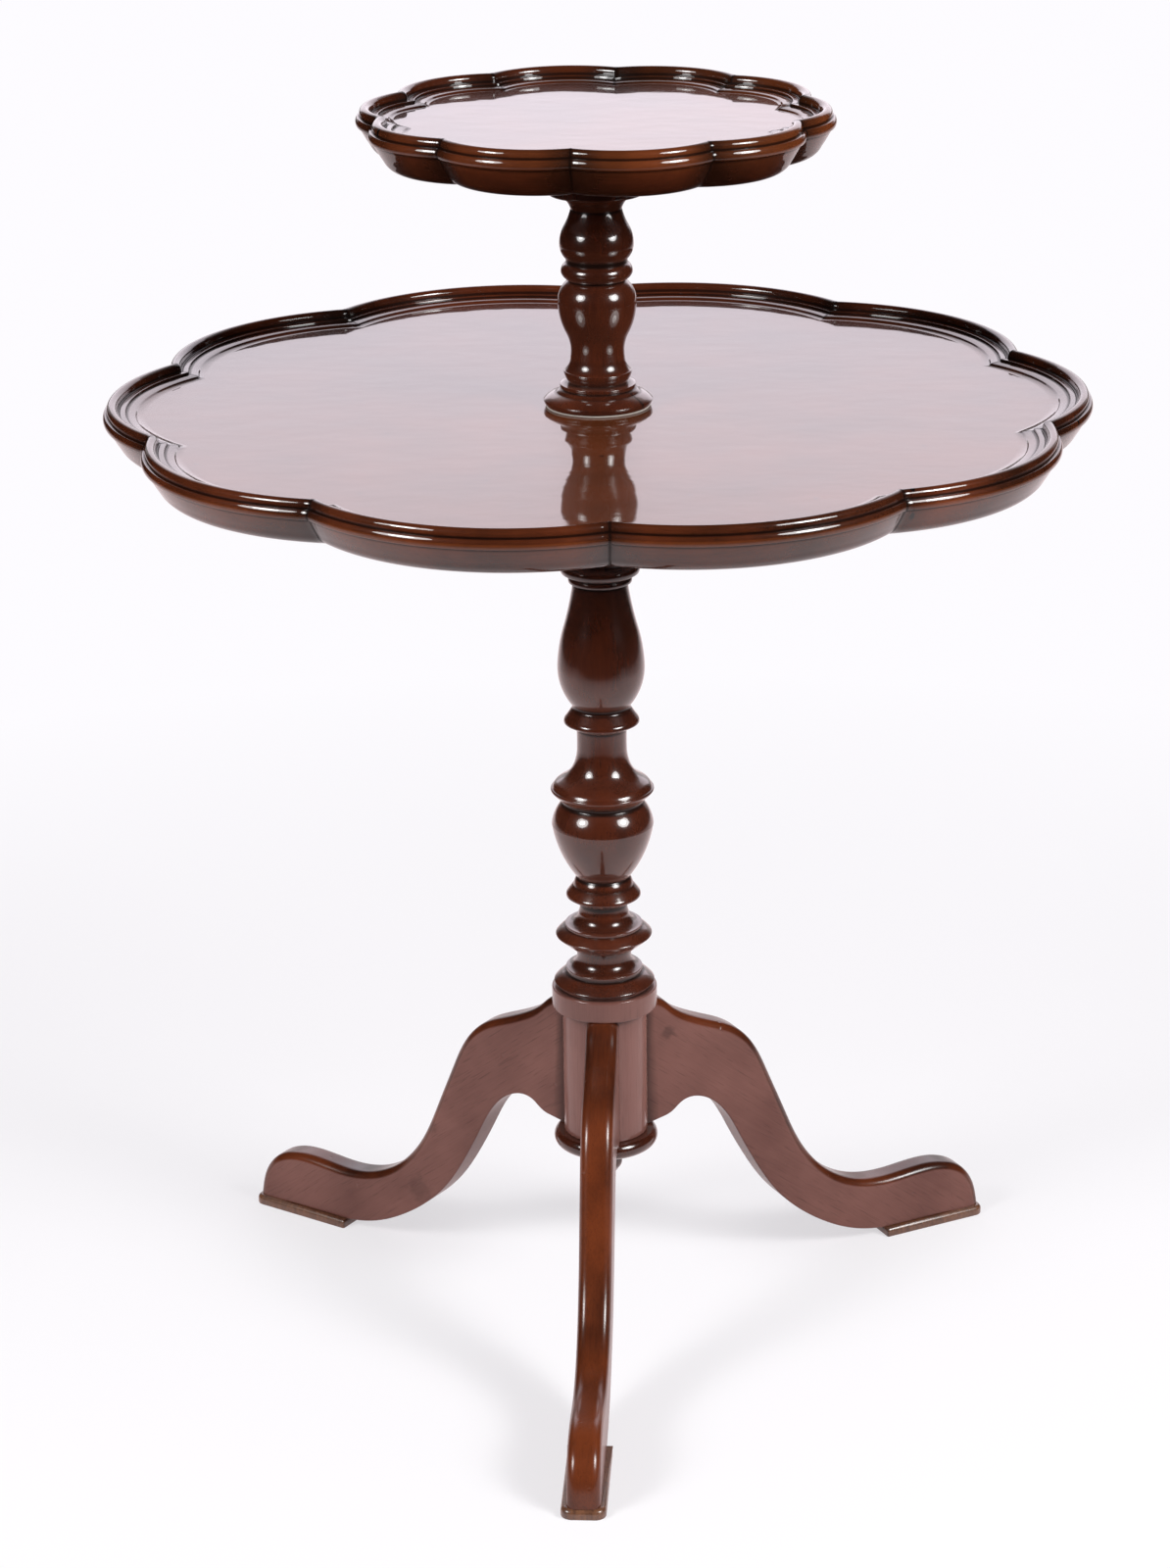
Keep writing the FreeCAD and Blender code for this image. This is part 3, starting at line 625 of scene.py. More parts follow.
@dataclass(frozen=True)
class PolishedMahogany(Finish):
    """Old stained mahogany under French polish: fibres, clouding, dark wax and painted shade in hollows, a
    wavy gloss.

    Pairs named contrast, line or rarity give where a pattern starts and where it is full.
    """

    dark: Colour
    warm: Colour
    # pale colours, part bleach and part painted light: the pink of a painted reflection on leg sides and hub,
    # orange painted lighter on tray tops and one side
    bleach_and_painted_light: tuple[Colour, Colour]
    grain: Grain
    fibre_share: float
    band_share: float
    gloss: float
    body_shine: float
    # darkest colour: real wax, pores, specks, stains and crack, and also the painted shade in hollows and
    # beside the mitres
    wax_and_shade: Colour = (0.004, 0.002, 0.0016)
    laid: Laid = Laid.IN_PIECE
    fibre_scale: float = 700.0
    fibre_depth: float = 0.00004
    fibre_relief: float = 0.3
    band_coarser: float = 9.0
    cloud_scale: float = 13.0
    contrast: Span = (0.38, 0.64)
    bleach_and_light_contrast: float = 1.6
    pore_finer: float = 1.7
    pore_rarity: Span = (0.62, 0.74)
    pore_strength: float = 0.3
    dirt_and_shade_strength: float = 0.92
    dirt_and_shade_line: Span = (0.02, 0.5)
    wax_dulling: float = 0.8
    # painted shade: how far the wood darkens toward the darkest colour beside each mitre, the lobes' inward
    # corner
    mitre_painted_shade: float = 0.55
    mitre_line: Span = (0.93, 0.99)
    crack_line: Span = (0.58, 0.72)
    crack_ragged: float = 0.3
    body_roughness: float = 0.42
    polish: float = 1.0
    bleach_and_light_polish: float = 1.0
    lacquer: float = 1.6
    haze: float = 0.0
    haze_tint: Colour = (1.0, 0.45, 0.34)
    wave: float = 0.2
    wave_scale: float = 38.0
    wave_depth: float = 0.0006
    wave_stretch: Spot = (1.0, 1.0, 1.0)
    dents: float = 0.0
    dent_scale: float = 95.0
    dent_reach: float = 0.16
    dent_depth: float = 0.0004
    dent_rarity: Span = (0.6, 0.66)
    specks: float = 0.0
    speck_scale: float = 11.0
    speck_line: Span = (0.012, 0.02)
    stains: tuple[Stain, ...] = ()

    def paint(self, shader: Shader) -> None:
        """Lay the stain, the wax and painted shade, the bleach and painted light, and the polish.

        Args:
            shader: The fresh material.
        """
        plain, along = shader.spot(), shader.spot(self.grain.value, self.laid)
        fibre = shader.noise(along, self.fibre_scale, detail=3.0, rough=0.6)
        mitre = shader.attribute("mitre")
        wood = self.stained(shader, plain, along, fibre)
        # painted shade: the wood darkens toward the darkest colour within a reach of each mitre
        wood = shader.blend(shader.spread(mitre, 0.0, 1.0, 0.0, self.mitre_painted_shade), wood, self.wax_and_shade)
        crack = shader.attribute("split") + fibre * self.crack_ragged
        joint = shader.math("MAXIMUM", shader.spread(mitre, *self.mitre_line),
                            shader.spread(crack, *self.crack_line))
        # hollows darken toward the darkest colour, part wax and dirt, part painted shade; the dark lines of
        # joints and the crack are real
        hollow = shader.spread(shader.attribute("hollow"), *self.dirt_and_shade_line)
        dirt_and_shade = shader.math("MAXIMUM", hollow, joint) * self.dirt_and_shade_strength
        polish = shader.spread(shader.attribute("bleach_and_painted_light"), 0.0, 1.0, self.polish, self.bleach_and_light_polish)
        shader.set(Base_Color=shader.blend(dirt_and_shade, wood, self.wax_and_shade), IOR=WOOD_IOR)
        shader.set(Roughness=self.body_roughness, Specular_IOR_Level=self.body_shine)
        shader.set(Coat_Weight=polish * (1.0 - dirt_and_shade * self.wax_dulling))
        shader.set(Coat_Roughness=self.gloss, Coat_IOR=self.lacquer)
        shader.set(Sheen_Weight=self.haze, Sheen_Roughness=0.5, Sheen_Tint=opaque(self.haze_tint))
        swell = shader.noise(shader.spot(self.wave_stretch), self.wave_scale, rough=0.45)
        normal = shader.relief(swell, self.wave_depth, self.wave)
        if self.dents:
            normal = self.dented(shader, plain, normal)
        fibrous = shader.relief(fibre, self.fibre_depth, self.fibre_relief, normal)
        shader.set(Coat_Normal=normal, Normal=fibrous)

    def stained(self, shader: Shader, plain: Output, along: Output, fibre: Output) -> Output:
        """Colour of the stained wood.

        Args:
            shader: The material.
            plain: Place in the piece.
            along: Place stretched along the grain.
            fibre: Noise of the finest fibres.

        Returns:
            The colour.
        """
        band = shader.noise(along, self.fibre_scale / self.band_coarser)
        cloud = shader.noise(plain, self.cloud_scale, detail=3.0, rough=0.55)
        mixed = fibre * self.fibre_share + band * self.band_share
        mixed = mixed + cloud * (1 - self.fibre_share - self.band_share)
        wood = shader.blend(shader.spread(mixed, *self.contrast), self.dark, self.warm)
        # bleach and painted light: the grain in the paler colours where the mesh keeps a share of them
        low, high = self.contrast
        middle, reach = (low + high) / 2, (high - low) / 2 * self.bleach_and_light_contrast
        pale = shader.blend(shader.spread(mixed, middle - reach, middle + reach), *self.bleach_and_painted_light)
        wood = shader.blend(shader.attribute("bleach_and_painted_light"), wood, pale)
        pores = shader.noise(along, self.fibre_scale * self.pore_finer, detail=1.0)
        wood = shader.blend(shader.spread(pores, *self.pore_rarity, 0.0, self.pore_strength), wood, self.wax_and_shade)
        if self.specks:
            inputs = {"Vector": plain, "Scale": self.speck_scale}
            cells = shader.add("ShaderNodeTexVoronoi", inputs, voronoi_dimensions="2D")
            lot = shader.add("ShaderNodeSeparateXYZ", {0: cells["Color"]})
            near = shader.spread(cells["Distance"], *self.speck_line, 1.0, 0.0)
            wood = shader.blend(shader.math("LESS_THAN", lot, self.specks) * near, wood, self.wax_and_shade)
        for stain in self.stains:
            inputs = {0: shader.attribute(self.laid.value)["Vector"], 1: stain.place}
            off = shader.add("ShaderNodeVectorMath", inputs, operation="DISTANCE")["Value"]
            ragged = off + shader.noise(plain, stain.ragged_scale) * stain.reach
            share = shader.spread(ragged, stain.reach, stain.reach * stain.blurred, stain.strength, 0.0)
            wood = shader.blend(share, wood, self.wax_and_shade)
        return wood

    def dented(self, shader: Shader, plain: Output, normal: Output) -> Output:
        """The polish's bump with a few small dents pressed in.

        Args:
            shader: The material.
            plain: Place in the piece.
            normal: The bump so far.

        Returns:
            The bump with the dents.
        """
        pits = shader.add("ShaderNodeTexVoronoi", {"Vector": plain, "Scale": self.dent_scale})
        rare = shader.spread(shader.noise(plain, 60.0, detail=1.0), *self.dent_rarity)
        pit = shader.math("MAXIMUM", shader.spread(pits, 0.0, self.dent_reach), 1.0 - rare)
        return shader.relief(pit, self.dent_depth, self.dents, normal)


@dataclass(frozen=True)
class PadWood(Finish):
    """Plain golden-brown wood of the foot pads, waxed and scuffed."""

    name: str = "pad_wood"
    dark: Colour = (0.062, 0.021, 0.009)
    light: Colour = (0.16, 0.062, 0.027)
    grain: Spot = (1.0, 1.0, 0.3)
    fibre_scale: float = 420.0
    cloud_scale: float = 60.0
    contrast: Span = (0.75, 1.25)

    def paint(self, shader: Shader) -> None:
        """Lay the wood and its wax.

        Args:
            shader: The fresh material.
        """
        along = shader.spot(self.grain)
        fibre = shader.noise(along, self.fibre_scale, detail=3.0, rough=0.6)
        share = shader.spread(fibre + shader.noise(along, self.cloud_scale), *self.contrast)
        shader.set(Base_Color=shader.blend(share, self.dark, self.light))
        shader.set(Roughness=0.4, IOR=WOOD_IOR, Coat_Weight=0.8, Coat_Roughness=0.15)
        shader.set(Normal=shader.relief(fibre, depth=0.0001, strength=0.2))


@dataclass(frozen=True)
class Felt(Finish):
    """Pressed wool felt between column and tray."""

    name: str = "felt"
    colour: Colour = (0.42, 0.38, 0.34)
    dimmed: float = 0.7
    fuzz_scale: float = 1800.0

    def paint(self, shader: Shader) -> None:
        """Lay the wool.

        Args:
            shader: The fresh material.
        """
        fuzz = shader.noise(shader.spot(), self.fuzz_scale, detail=4.0, rough=0.7)
        dim = tuple(part * self.dimmed for part in self.colour)
        shader.set(Base_Color=shader.blend(fuzz, dim, self.colour))
        shader.set(Roughness=0.95, Specular_IOR_Level=0.2, Sheen_Weight=0.4, Sheen_Roughness=0.5)
        shader.set(Normal=shader.relief(fuzz, depth=0.0003, strength=0.6))


@dataclass(frozen=True)
class Leather(Finish):
    """Hard sole leather of the bearing washers."""

    name: str = "washer_leather"
    colour: Colour = (0.12, 0.06, 0.03)
    creased_scale: float = 900.0

    def paint(self, shader: Shader) -> None:
        """Lay the leather.

        Args:
            shader: The fresh material.
        """
        creases = shader.noise(shader.spot(), self.creased_scale, detail=3.0)
        shader.set(Base_Color=opaque(self.colour), Roughness=0.6, IOR=1.45,
                   Normal=shader.relief(creases, depth=0.0002, strength=0.4))


@dataclass(frozen=True)
class ScrewSteel(Finish):
    """Old steel screws, dulled and a little brown."""

    name: str = "screw_steel"
    bright: Colour = (0.34, 0.31, 0.28)
    rust: Colour = (0.10, 0.055, 0.035)
    rust_scale: float = 700.0
    rust_line: Span = (0.45, 0.7)

    def paint(self, shader: Shader) -> None:
        """Lay the steel and its rust.

        Args:
            shader: The fresh material.
        """
        tarnish = shader.noise(shader.spot(), self.rust_scale, detail=4.0, rough=0.6)
        share = shader.spread(tarnish, *self.rust_line)
        shader.set(Base_Color=shader.blend(share, self.bright, self.rust), Metallic=1.0)
        shader.set(Roughness=shader.spread(tarnish, 0.3, 0.7, 0.32, 0.6))


@dataclass(frozen=True)
class Finishes:
    """Every finish on the table, one for each slot of the record."""

    tray: Finish = PolishedMahogany(
        "tray_mahogany", dark=(0.011, 0.0032, 0.0018), warm=(0.088, 0.0180, 0.0060),
        bleach_and_painted_light=((0.120, 0.032, 0.0085), (0.240, 0.062, 0.016)), grain=Grain.ACROSS,
        fibre_share=0.16, band_share=0.14, contrast=(0.35, 0.67), pore_strength=0.2, gloss=0.045,
        body_shine=0.04, dirt_and_shade_strength=0.8, mitre_painted_shade=0.75, wave_stretch=(0.8, 1.2, 1.0), specks=0.7,
    )
    turned: Finish = PolishedMahogany(
        "turned_mahogany", dark=(0.012, 0.0030, 0.0020), warm=(0.085, 0.0175, 0.0060),
        bleach_and_painted_light=((0.110, 0.042, 0.034), (0.230, 0.106, 0.089)), grain=Grain.UPRIGHT,
        fibre_share=0.2, band_share=0.2, contrast=(0.33, 0.69), pore_strength=0.15, gloss=0.085,
        body_shine=0.16, body_roughness=0.27, bleach_and_light_polish=0.4, lacquer=1.58, haze=0.12, wave=0.05,
    )
    leg: Finish = PolishedMahogany(
        "leg_mahogany", dark=(0.034, 0.0075, 0.0028), warm=(0.140, 0.030, 0.0085),
        bleach_and_painted_light=((0.100, 0.037, 0.029), (0.210, 0.090, 0.072)), grain=Grain.ACROSS, laid=Laid.IN_BOARD,
        fibre_scale=900.0, fibre_share=0.15, band_share=0.14, gloss=0.18, body_shine=0.16,
        body_roughness=0.3, polish=0.6, bleach_and_light_polish=0.25, bleach_and_light_contrast=1.7, lacquer=1.5, haze=0.02,
        wave=0.3, dents=0.9, dirt_and_shade_strength=0.85,
        stains=(
            Stain((0.3061, 0.3795, 0.5644), 0.005, 0.36), Stain((2.0369, 1.9605, 2.0764), 0.011, 0.25),
            Stain((1.9975, 1.9605, 2.1084), 0.006, 0.25),
        ),
    )
    pad: Finish = PadWood()
    felt: Finish = Felt()
    leather: Finish = Leather()
    steel: Finish = ScrewSteel()


# ---------------------------------------------------------------- geometry nodes


class Rule(Nodes):
    """A geometry node tree with named inputs; its source is the mesh that it is laid on."""

    def __init__(self, name: str) -> None:
        """Start a tree that takes and gives geometry.

        Args:
            name: Name of the tree.
        """
        super().__init__(bpy.data.node_groups.new(name, "GeometryNodeTree"))
        for way in ("INPUT", "OUTPUT"):
            self.tree.interface.new_socket("Geometry", in_out=way, socket_type="NodeSocketGeometry")
        self.source = self.add("NodeGroupInput")
        self.sockets: dict[str, str] = {}

    def input(self, name: str, kind: str) -> Output:
        """Add a named input.

        Args:
            name: Its name.
            kind: Type of its socket.

        Returns:
            Its value in the tree.
        """
        made = self.tree.interface.new_socket(name, in_out="INPUT", socket_type=f"NodeSocket{kind}")
        self.sockets[name] = made.identifier
        return self.source[name]

    def whole(self, operation: str, first: Value, second: Value) -> Output:
        """Result of a sum on two whole numbers."""
        return self.add("FunctionNodeIntegerMath", {0: first, 1: second}, operation=operation)

    def finish(self, geometry: Output, material: Output) -> None:
        """Realize instances, set the material and end the tree.

        Args:
            geometry: What the tree has made.
            material: Its finish.
        """
        real = self.add("GeometryNodeRealizeInstances", {"Geometry": geometry})
        dressed = self.add("GeometryNodeSetMaterial", {"Geometry": real, "Material": material})
        self.put(self.tree.nodes.new("NodeGroupOutput").inputs[0], dressed)

    def bake(self, name: str, base: bpy.types.Mesh, values: dict[str, Any]) -> bpy.types.Mesh:
        """Run the tree on a mesh and keep the result as a plain mesh.

        Args:
            name: Name of the new mesh.
            base: Mesh that the tree takes.
            values: Values of the named inputs.

        Returns:
            The plain mesh.
        """
        holder = put_in_scene(f"{name}_rule", base)
        modifier = holder.modifiers.new(self.tree.name, "NODES")
        modifier.node_group = self.tree
        for key, value in values.items():
            modifier[self.sockets[key]] = value
        return baked(name, holder)


def baked(name: str, holder: bpy.types.Object) -> bpy.types.Mesh:
    """The plain mesh that an object's modifiers give; the object is taken away.

    Args:
        name: Name of the mesh.
        holder: The object.

    Returns:
        The mesh.
    """
    graph = bpy.context.evaluated_depsgraph_get()
    made = bpy.data.meshes.new_from_object(holder.evaluated_get(graph))
    made.name = name
    holder.modifiers.clear()
    bpy.data.objects.remove(holder)
    return made


def lobed_board_rule() -> Rule:
    """Tree of a lobed, dished board: a section swept round lobes that meet in mitres.

    The base mesh holds the section's points, inset from the outermost line in x and height in z, with the
    attributes "inward" (share of the way to a round core), "core" (that core's radius) and "hollow".

    Returns:
        The tree.
    """
    rule = Rule("lobed_board")
    lobe_radius, lobe_centre = rule.input("Lobe Radius", "Float"), rule.input("Lobe Centre", "Float")
    lobes, steps = rule.input("Lobes", "Int"), rule.input("Steps in a Lobe", "Int")
    turn, mitre_wide = rule.input("Turn", "Float"), rule.input("Mitre Painted Shade Reach", "Float")
    material = rule.input("Material", "Material")

    size = rule.add("GeometryNodeAttributeDomainSize", {"Geometry": rule.source}, component="MESH")
    stations = size["Point Count"]
    around = rule.whole("ADD", rule.whole("MULTIPLY", lobes, steps), 1)
    grid = rule.add("GeometryNodeMeshGrid", {"Vertices X": around, "Vertices Y": stations})
    index = rule.add("GeometryNodeInputIndex")
    station, step = rule.whole("MODULO", index, stations), rule.whole("DIVIDE_FLOOR", index, stations)

    def sampled(value: Output) -> Output:
        """A value of the section's point that belongs to this grid point."""
        inputs = {"Geometry": rule.source, "Value": value, "Index": station}
        return rule.add("GeometryNodeSampleIndex", inputs, data_type="FLOAT", domain="POINT")

    def named(name: str) -> Output:
        """A named attribute of the section's point that belongs to this grid point."""
        return sampled(rule.add("GeometryNodeInputNamedAttribute", {"Name": name}, data_type="FLOAT"))

    on_section = rule.add("ShaderNodeSeparateXYZ", {0: rule.add("GeometryNodeInputPosition")})
    inset, height = sampled(on_section[0]), sampled(on_section[2])
    inward, core, hollow = named("inward"), named("core"), named("hollow")

    lobe_angle = 2 * math.pi / lobes
    share = rule.whole("MODULO", step, steps) / steps
    local = (share - 0.5) * lobe_angle
    swing = step * lobe_angle / steps - lobe_angle * 0.5 + turn
    across = lobe_centre * rule.math("SINE", local)
    chord = rule.math("POWER", lobe_radius - inset, 2.0) - rule.math("POWER", across, 2.0)
    lobed = lobe_centre * rule.math("COSINE", local) + rule.math("SQRT", chord)
    radius = lobed * (1.0 - inward) + core * inward
    spot = rule.add("ShaderNodeCombineXYZ", {
        0: radius * rule.math("COSINE", swing), 1: radius * rule.math("SINE", swing), 2: height,
    })
    board = rule.add("GeometryNodeSetPosition", {"Geometry": grid, "Position": spot})

    near = rule.math("MINIMUM", share, 1.0 - share)
    # painted shade beside each mitre: 1 at the mitre, falling to 0 at the reach; stored as mitre together
    # with the joint line
    shadow = rule.math("MAXIMUM", 1.0 - near * lobe_angle * radius / mitre_wide, 0.0)
    mitred = 1.0 - rule.math("MINIMUM", inward * ANY_MORE, 1.0)
    for name, value in (("hollow", hollow), ("mitre", shadow * mitred)):
        inputs = {"Geometry": board, "Name": name, "Value": value}
        board = rule.add("GeometryNodeStoreNamedAttribute", inputs, data_type="FLOAT", domain="POINT")
    smooth = rule.add("GeometryNodeSetShadeSmooth", {"Geometry": board, "Shade Smooth": True}, domain="FACE")
    inputs = {0: near, 1: ON_MITRE}
    on_mitre = rule.add("FunctionNodeCompare", inputs, data_type="FLOAT", operation="LESS_THAN")
    inputs = {"Geometry": smooth, "Selection": on_mitre, "Shade Smooth": False}
    sharp = rule.add("GeometryNodeSetShadeSmooth", inputs, domain="EDGE")
    rule.finish(rule.add("GeometryNodeMergeByDistance", {"Geometry": sharp, "Distance": TINY}), material)
    return rule


def screw_ring_rule() -> Rule:
    """Tree of a ring of like screws about the Z axis; the base mesh is one screw on the axis.

    Returns:
        The tree.
    """
    rule = Rule("screw_ring")
    count, radius = rule.input("Count", "Int"), rule.input("Ring Radius", "Float")
    height, turn = rule.input("Height", "Float"), rule.input("Turn", "Float")
    slots, material = rule.input("Slot Seed", "Int"), rule.input("Material", "Material")
    placed = rule.add("GeometryNodeTransform", {
        "Geometry": rule.add("GeometryNodeMeshCircle", {"Vertices": count, "Radius": radius}),
        "Translation": rule.add("ShaderNodeCombineXYZ", {2: height}),
        "Rotation": rule.add("ShaderNodeCombineXYZ", {2: turn}),
    })
    inputs = {2: 0.0, 3: 2 * math.pi, "Seed": slots}
    whirl = rule.add("FunctionNodeRandomValue", inputs, data_type="FLOAT")[1]
    copies = rule.add("GeometryNodeInstanceOnPoints", {
        "Points": placed, "Instance": rule.source, "Rotation": rule.add("ShaderNodeCombineXYZ", {2: whirl}),
    })
    rule.finish(copies, material)
    return rule


# ---------------------------------------------------------------- screws


@dataclass
class WoodScrew:
    """A slotted countersunk wood screw, head down at height 0."""

    head_radius: float = 3.6
    head_tall: float = 2.2
    head_edge: float = 0.3
    shank_radius: float = 1.8
    long: float = 20.0
    point: float = 3.0
    slot_wide: float = 0.9
    slot_deep: float = 0.9
    cutter_spare: float = 1.0
    segments: int = 32

    def mesh(self) -> bpy.types.Mesh:
        """Turn the screw and press its slot in.

        Returns:
            The mesh of one screw on the axis.
        """
        outline = Outline((0.0, 0.0), ridge_easing=0.15)
        outline.to(self.head_radius, 0.0).to(self.head_radius, self.head_edge)
        outline.to(self.shank_radius, self.head_tall).to(self.shank_radius, self.long - self.point)
        outline.to(0.0, self.long)
        reach, half = self.head_radius + self.cutter_spare, self.slot_wide / 2
        cutter = box_mesh("slot", (-reach, -half, -self.cutter_spare), (reach, half, self.slot_deep))
        return cut_away(lathe("wood_screw", outline, self.segments), cutter)


def box_mesh(name: str, low: Spot, high: Spot) -> bpy.types.Mesh:
    """A box between two corners.

    Args:
        name: Name of the mesh.
        low: Its lowest corner.
        high: Its highest corner.

    Returns:
        The mesh.
    """
    spots = [(x, y, z) for z in (low[2], high[2]) for y in (low[1], high[1]) for x in (low[0], high[0])]
    faces = [(0, 2, 3, 1), (4, 5, 7, 6), (0, 1, 5, 4), (2, 6, 7, 3), (0, 4, 6, 2), (1, 3, 7, 5)]
    return new_mesh(name, spots, faces)


def cut_away(mesh: bpy.types.Mesh, cutter: bpy.types.Mesh) -> bpy.types.Mesh:
    """Take one mesh away from another.

    Args:
        mesh: What is cut.
        cutter: What is taken away.

    Returns:
        The mesh that is left.
    """
    whole, tool = put_in_scene("cut_whole", mesh), put_in_scene("cut_tool", cutter)
    cut = whole.modifiers.new("cut", "BOOLEAN")
    cut.operation, cut.solver, cut.object = "DIFFERENCE", "EXACT", tool
    left = baked("cut", whole)
    bpy.data.objects.remove(tool)
    left.set_sharp_from_angle(angle=CUT_ARRIS)
    return left


@dataclass
class ScrewRing:
    """A ring of like wood screws about the axis, heads down."""

    rule: Rule
    finish: Finish
    count: int
    radius: float
    height: float
    turn: float
    slot_seed: int

    def build(self, name: str, rider: Rider, node: str) -> None:
        """Set the screws.

        Args:
            name: Name of the piece.
            rider: Body that carries them.
            node: CAD node that they stand for.
        """
        screws = self.rule.bake(name, WoodScrew().mesh(), {
            "Count": self.count, "Ring Radius": self.radius * MM, "Height": self.height * MM,
            "Turn": math.radians(self.turn), "Slot Seed": self.slot_seed, "Material": self.finish.material,
        })
        place(name, screws, self.finish, rider, node)


# ---------------------------------------------------------------- column


@dataclass
class Column:
    """The two turned stems, the washers on their seats and the felt between them."""

    finishes: Finishes
    stem_base: float = 231.8
    stem_foot_radius: float = 33.0
    journal_radius: float = 14.0
    upper_base: float = 617.2
    upper_foot_radius: float = 32.3
    pivot_radius: float = 9.0
    pivot_top: float = 783.6
    leather_thick: float = 1.0
    lower_leather_radius: float = 26.0
    upper_leather_radius: float = 18.0
    felt_radius: float = 32.4
    felt_thick: float = 1.1
    leather_easing: float = 0.3
    felt_easing: float = 0.5
    crack_turn: float = -32.1
    crack_heights: tuple[float, float] = (618.4, 627.0)
    crack_wide: float = 2.0
    lower_members: tuple[Spot, ...] = (
        (6.8, 24.6, 0.6), (3.0, 24.8, 0.0), (7.6, 17.6, -2.0), (6.1, 18.4, -0.2), (1.5, 22.5, 0.0),
        (7.2, 31.0, 0.1), (1.4, 30.6, 0.3), (4.7, 24.9, 0.4), (1.6, 25.0, 0.0), (7.5, 16.3, -2.4),
        (6.7, 15.5, -0.5), (5.2, 24.1, 0.1), (2.6, 23.3, 0.3), (4.8, 19.4, 0.1), (5.7, 16.9, 0.4),
        (36.4, 32.7, 2.6), (14.1, 26.4, 1.25), (2.8, 26.3, -0.5), (5.8, 32.7, 0.3), (2.0, 32.0, 0.7),
        (3.9, 29.2, 0.4), (1.8, 26.4, 0.0), (8.3, 18.7, -0.9), (13.2, 15.9, -0.75), (12.5, 16.0, -0.1),
        (4.5, 24.1, 0.1), (3.4, 22.8, 0.4), (4.9, 19.4, 0.0), (3.0, 18.5, -0.4), (26.4, 27.7, 2.55),
        (25.5, 23.5, 0.8), (28.7, 17.4, -0.5), (1.1, 20.0, 0.0), (3.0, 19.8, 0.3), (1.3, 19.6, -0.2),
        (2.0, 24.6, 0.3), (4.2, 24.8, 0.5), (3.5, 21.5, 0.5), (2.0, 21.5, 0.0), (9.5, 17.0, -2.4),
        (28.0, 20.5, 0.6), (1.5, 19.5, 0.0), (6.0, 19.5, 2.5), (5.5, 27.0, -1.5), (2.0, 27.0, 0.0),
    )
    upper_members: tuple[Spot, ...] = (
        (3.4, 33.7, 0.3), (4.6, 26.0, 0.6), (2.6, 22.9, 0.2), (2.5, 23.3, 0.4), (1.2, 17.9, 0.0),
        (6.2, 21.0, 0.6), (0.9, 20.4, 0.2), (8.9, 16.8, -1.0), (5.6, 16.6, -0.2), (9.4, 19.6, -0.5),
        (20.2, 24.1, 1.35), (12.4, 17.4, 1.6), (5.2, 22.1, 1.0), (5.5, 18.9, 0.8), (2.2, 18.9, 0.0),
        (9.0, 22.8, 1.0), (11.5, 19.7, 0.8), (10.2, 15.7, -0.4), (5.8, 18.9, -0.4), (2.5, 20.5, 0.0),
    )

    def build(self) -> None:
        """Make the stems and what lies on their seats."""
        lower = Outline((0.0, self.stem_base)).to(self.stem_foot_radius, self.stem_base)
        lower.members(self.lower_members)
        seat = lower.end()[1]
        lower.to(self.journal_radius, seat).to(self.journal_radius, self.upper_base).to(0.0, self.upper_base)
        upper = Outline((0.0, self.upper_base)).to(self.upper_foot_radius, self.upper_base)
        upper.members(self.upper_members)
        upper_seat = upper.end()[1]
        upper.to(self.pivot_radius, upper_seat).to(self.pivot_radius, self.pivot_top).to(0.0, self.pivot_top)
        for name, outline in (("lower_stem", lower), ("upper_stem", upper)):
            mesh = lathe(name, outline)
            if outline is upper:
                store(mesh, "split", (self.split_share(vertex.co) for vertex in mesh.vertices))
            place(f"{name}_turning", mesh, self.finishes.turned, Rider.STAND, name)
        for name, height, outer, inner in (
            ("lower_leather_washer", seat, self.lower_leather_radius, self.journal_radius),
            ("upper_leather_washer", upper_seat, self.upper_leather_radius, self.pivot_radius),
        ):
            mesh = washer_mesh(name, height, outer, inner, self.leather_thick, self.leather_easing)
            place(f"{name}_disc", mesh, self.finishes.leather, Rider.STAND, name)
        felt_base = self.upper_base - self.felt_thick
        mesh = washer_mesh("felt", felt_base, self.felt_radius, self.journal_radius, self.felt_thick,
                           self.felt_easing)
        place("felt_ring_disc", mesh, self.finishes.felt, Rider.STAND, "felt_ring")

    def split_share(self, spot: Vector) -> float:
        """How far a spot lies on the drying crack that runs down the upper stem's foot.

        Args:
            spot: The spot, in metres.

        Returns:
            1 on the crack, 0 off it.
        """
        low, high = self.crack_heights
        off = abs(math.degrees(math.atan2(spot.y, spot.x)) - self.crack_turn)
        return float(off < self.crack_wide / 2 and low < spot.z / MM < high)


def washer_mesh(
    name: str, height: float, outer: float, inner: float, thick: float, easing: float
) -> bpy.types.Mesh:
    """A flat ring with eased edges.

    Args:
        name: Name of the mesh.
        height: Height of its underside.
        outer: Outer radius.
        inner: Radius of its hole, before clearance.
        thick: Thickness.
        easing: Rounding of its edges.

    Returns:
        The mesh.
    """
    hole = inner + WASHER_PLAY
    outline = Outline((hole, height), ridge_easing=easing)
    outline.to(outer, height).to(outer, height + thick).to(hole, height + thick).to(hole, height)
    return lathe(name, outline)


# ---------------------------------------------------------------- hub


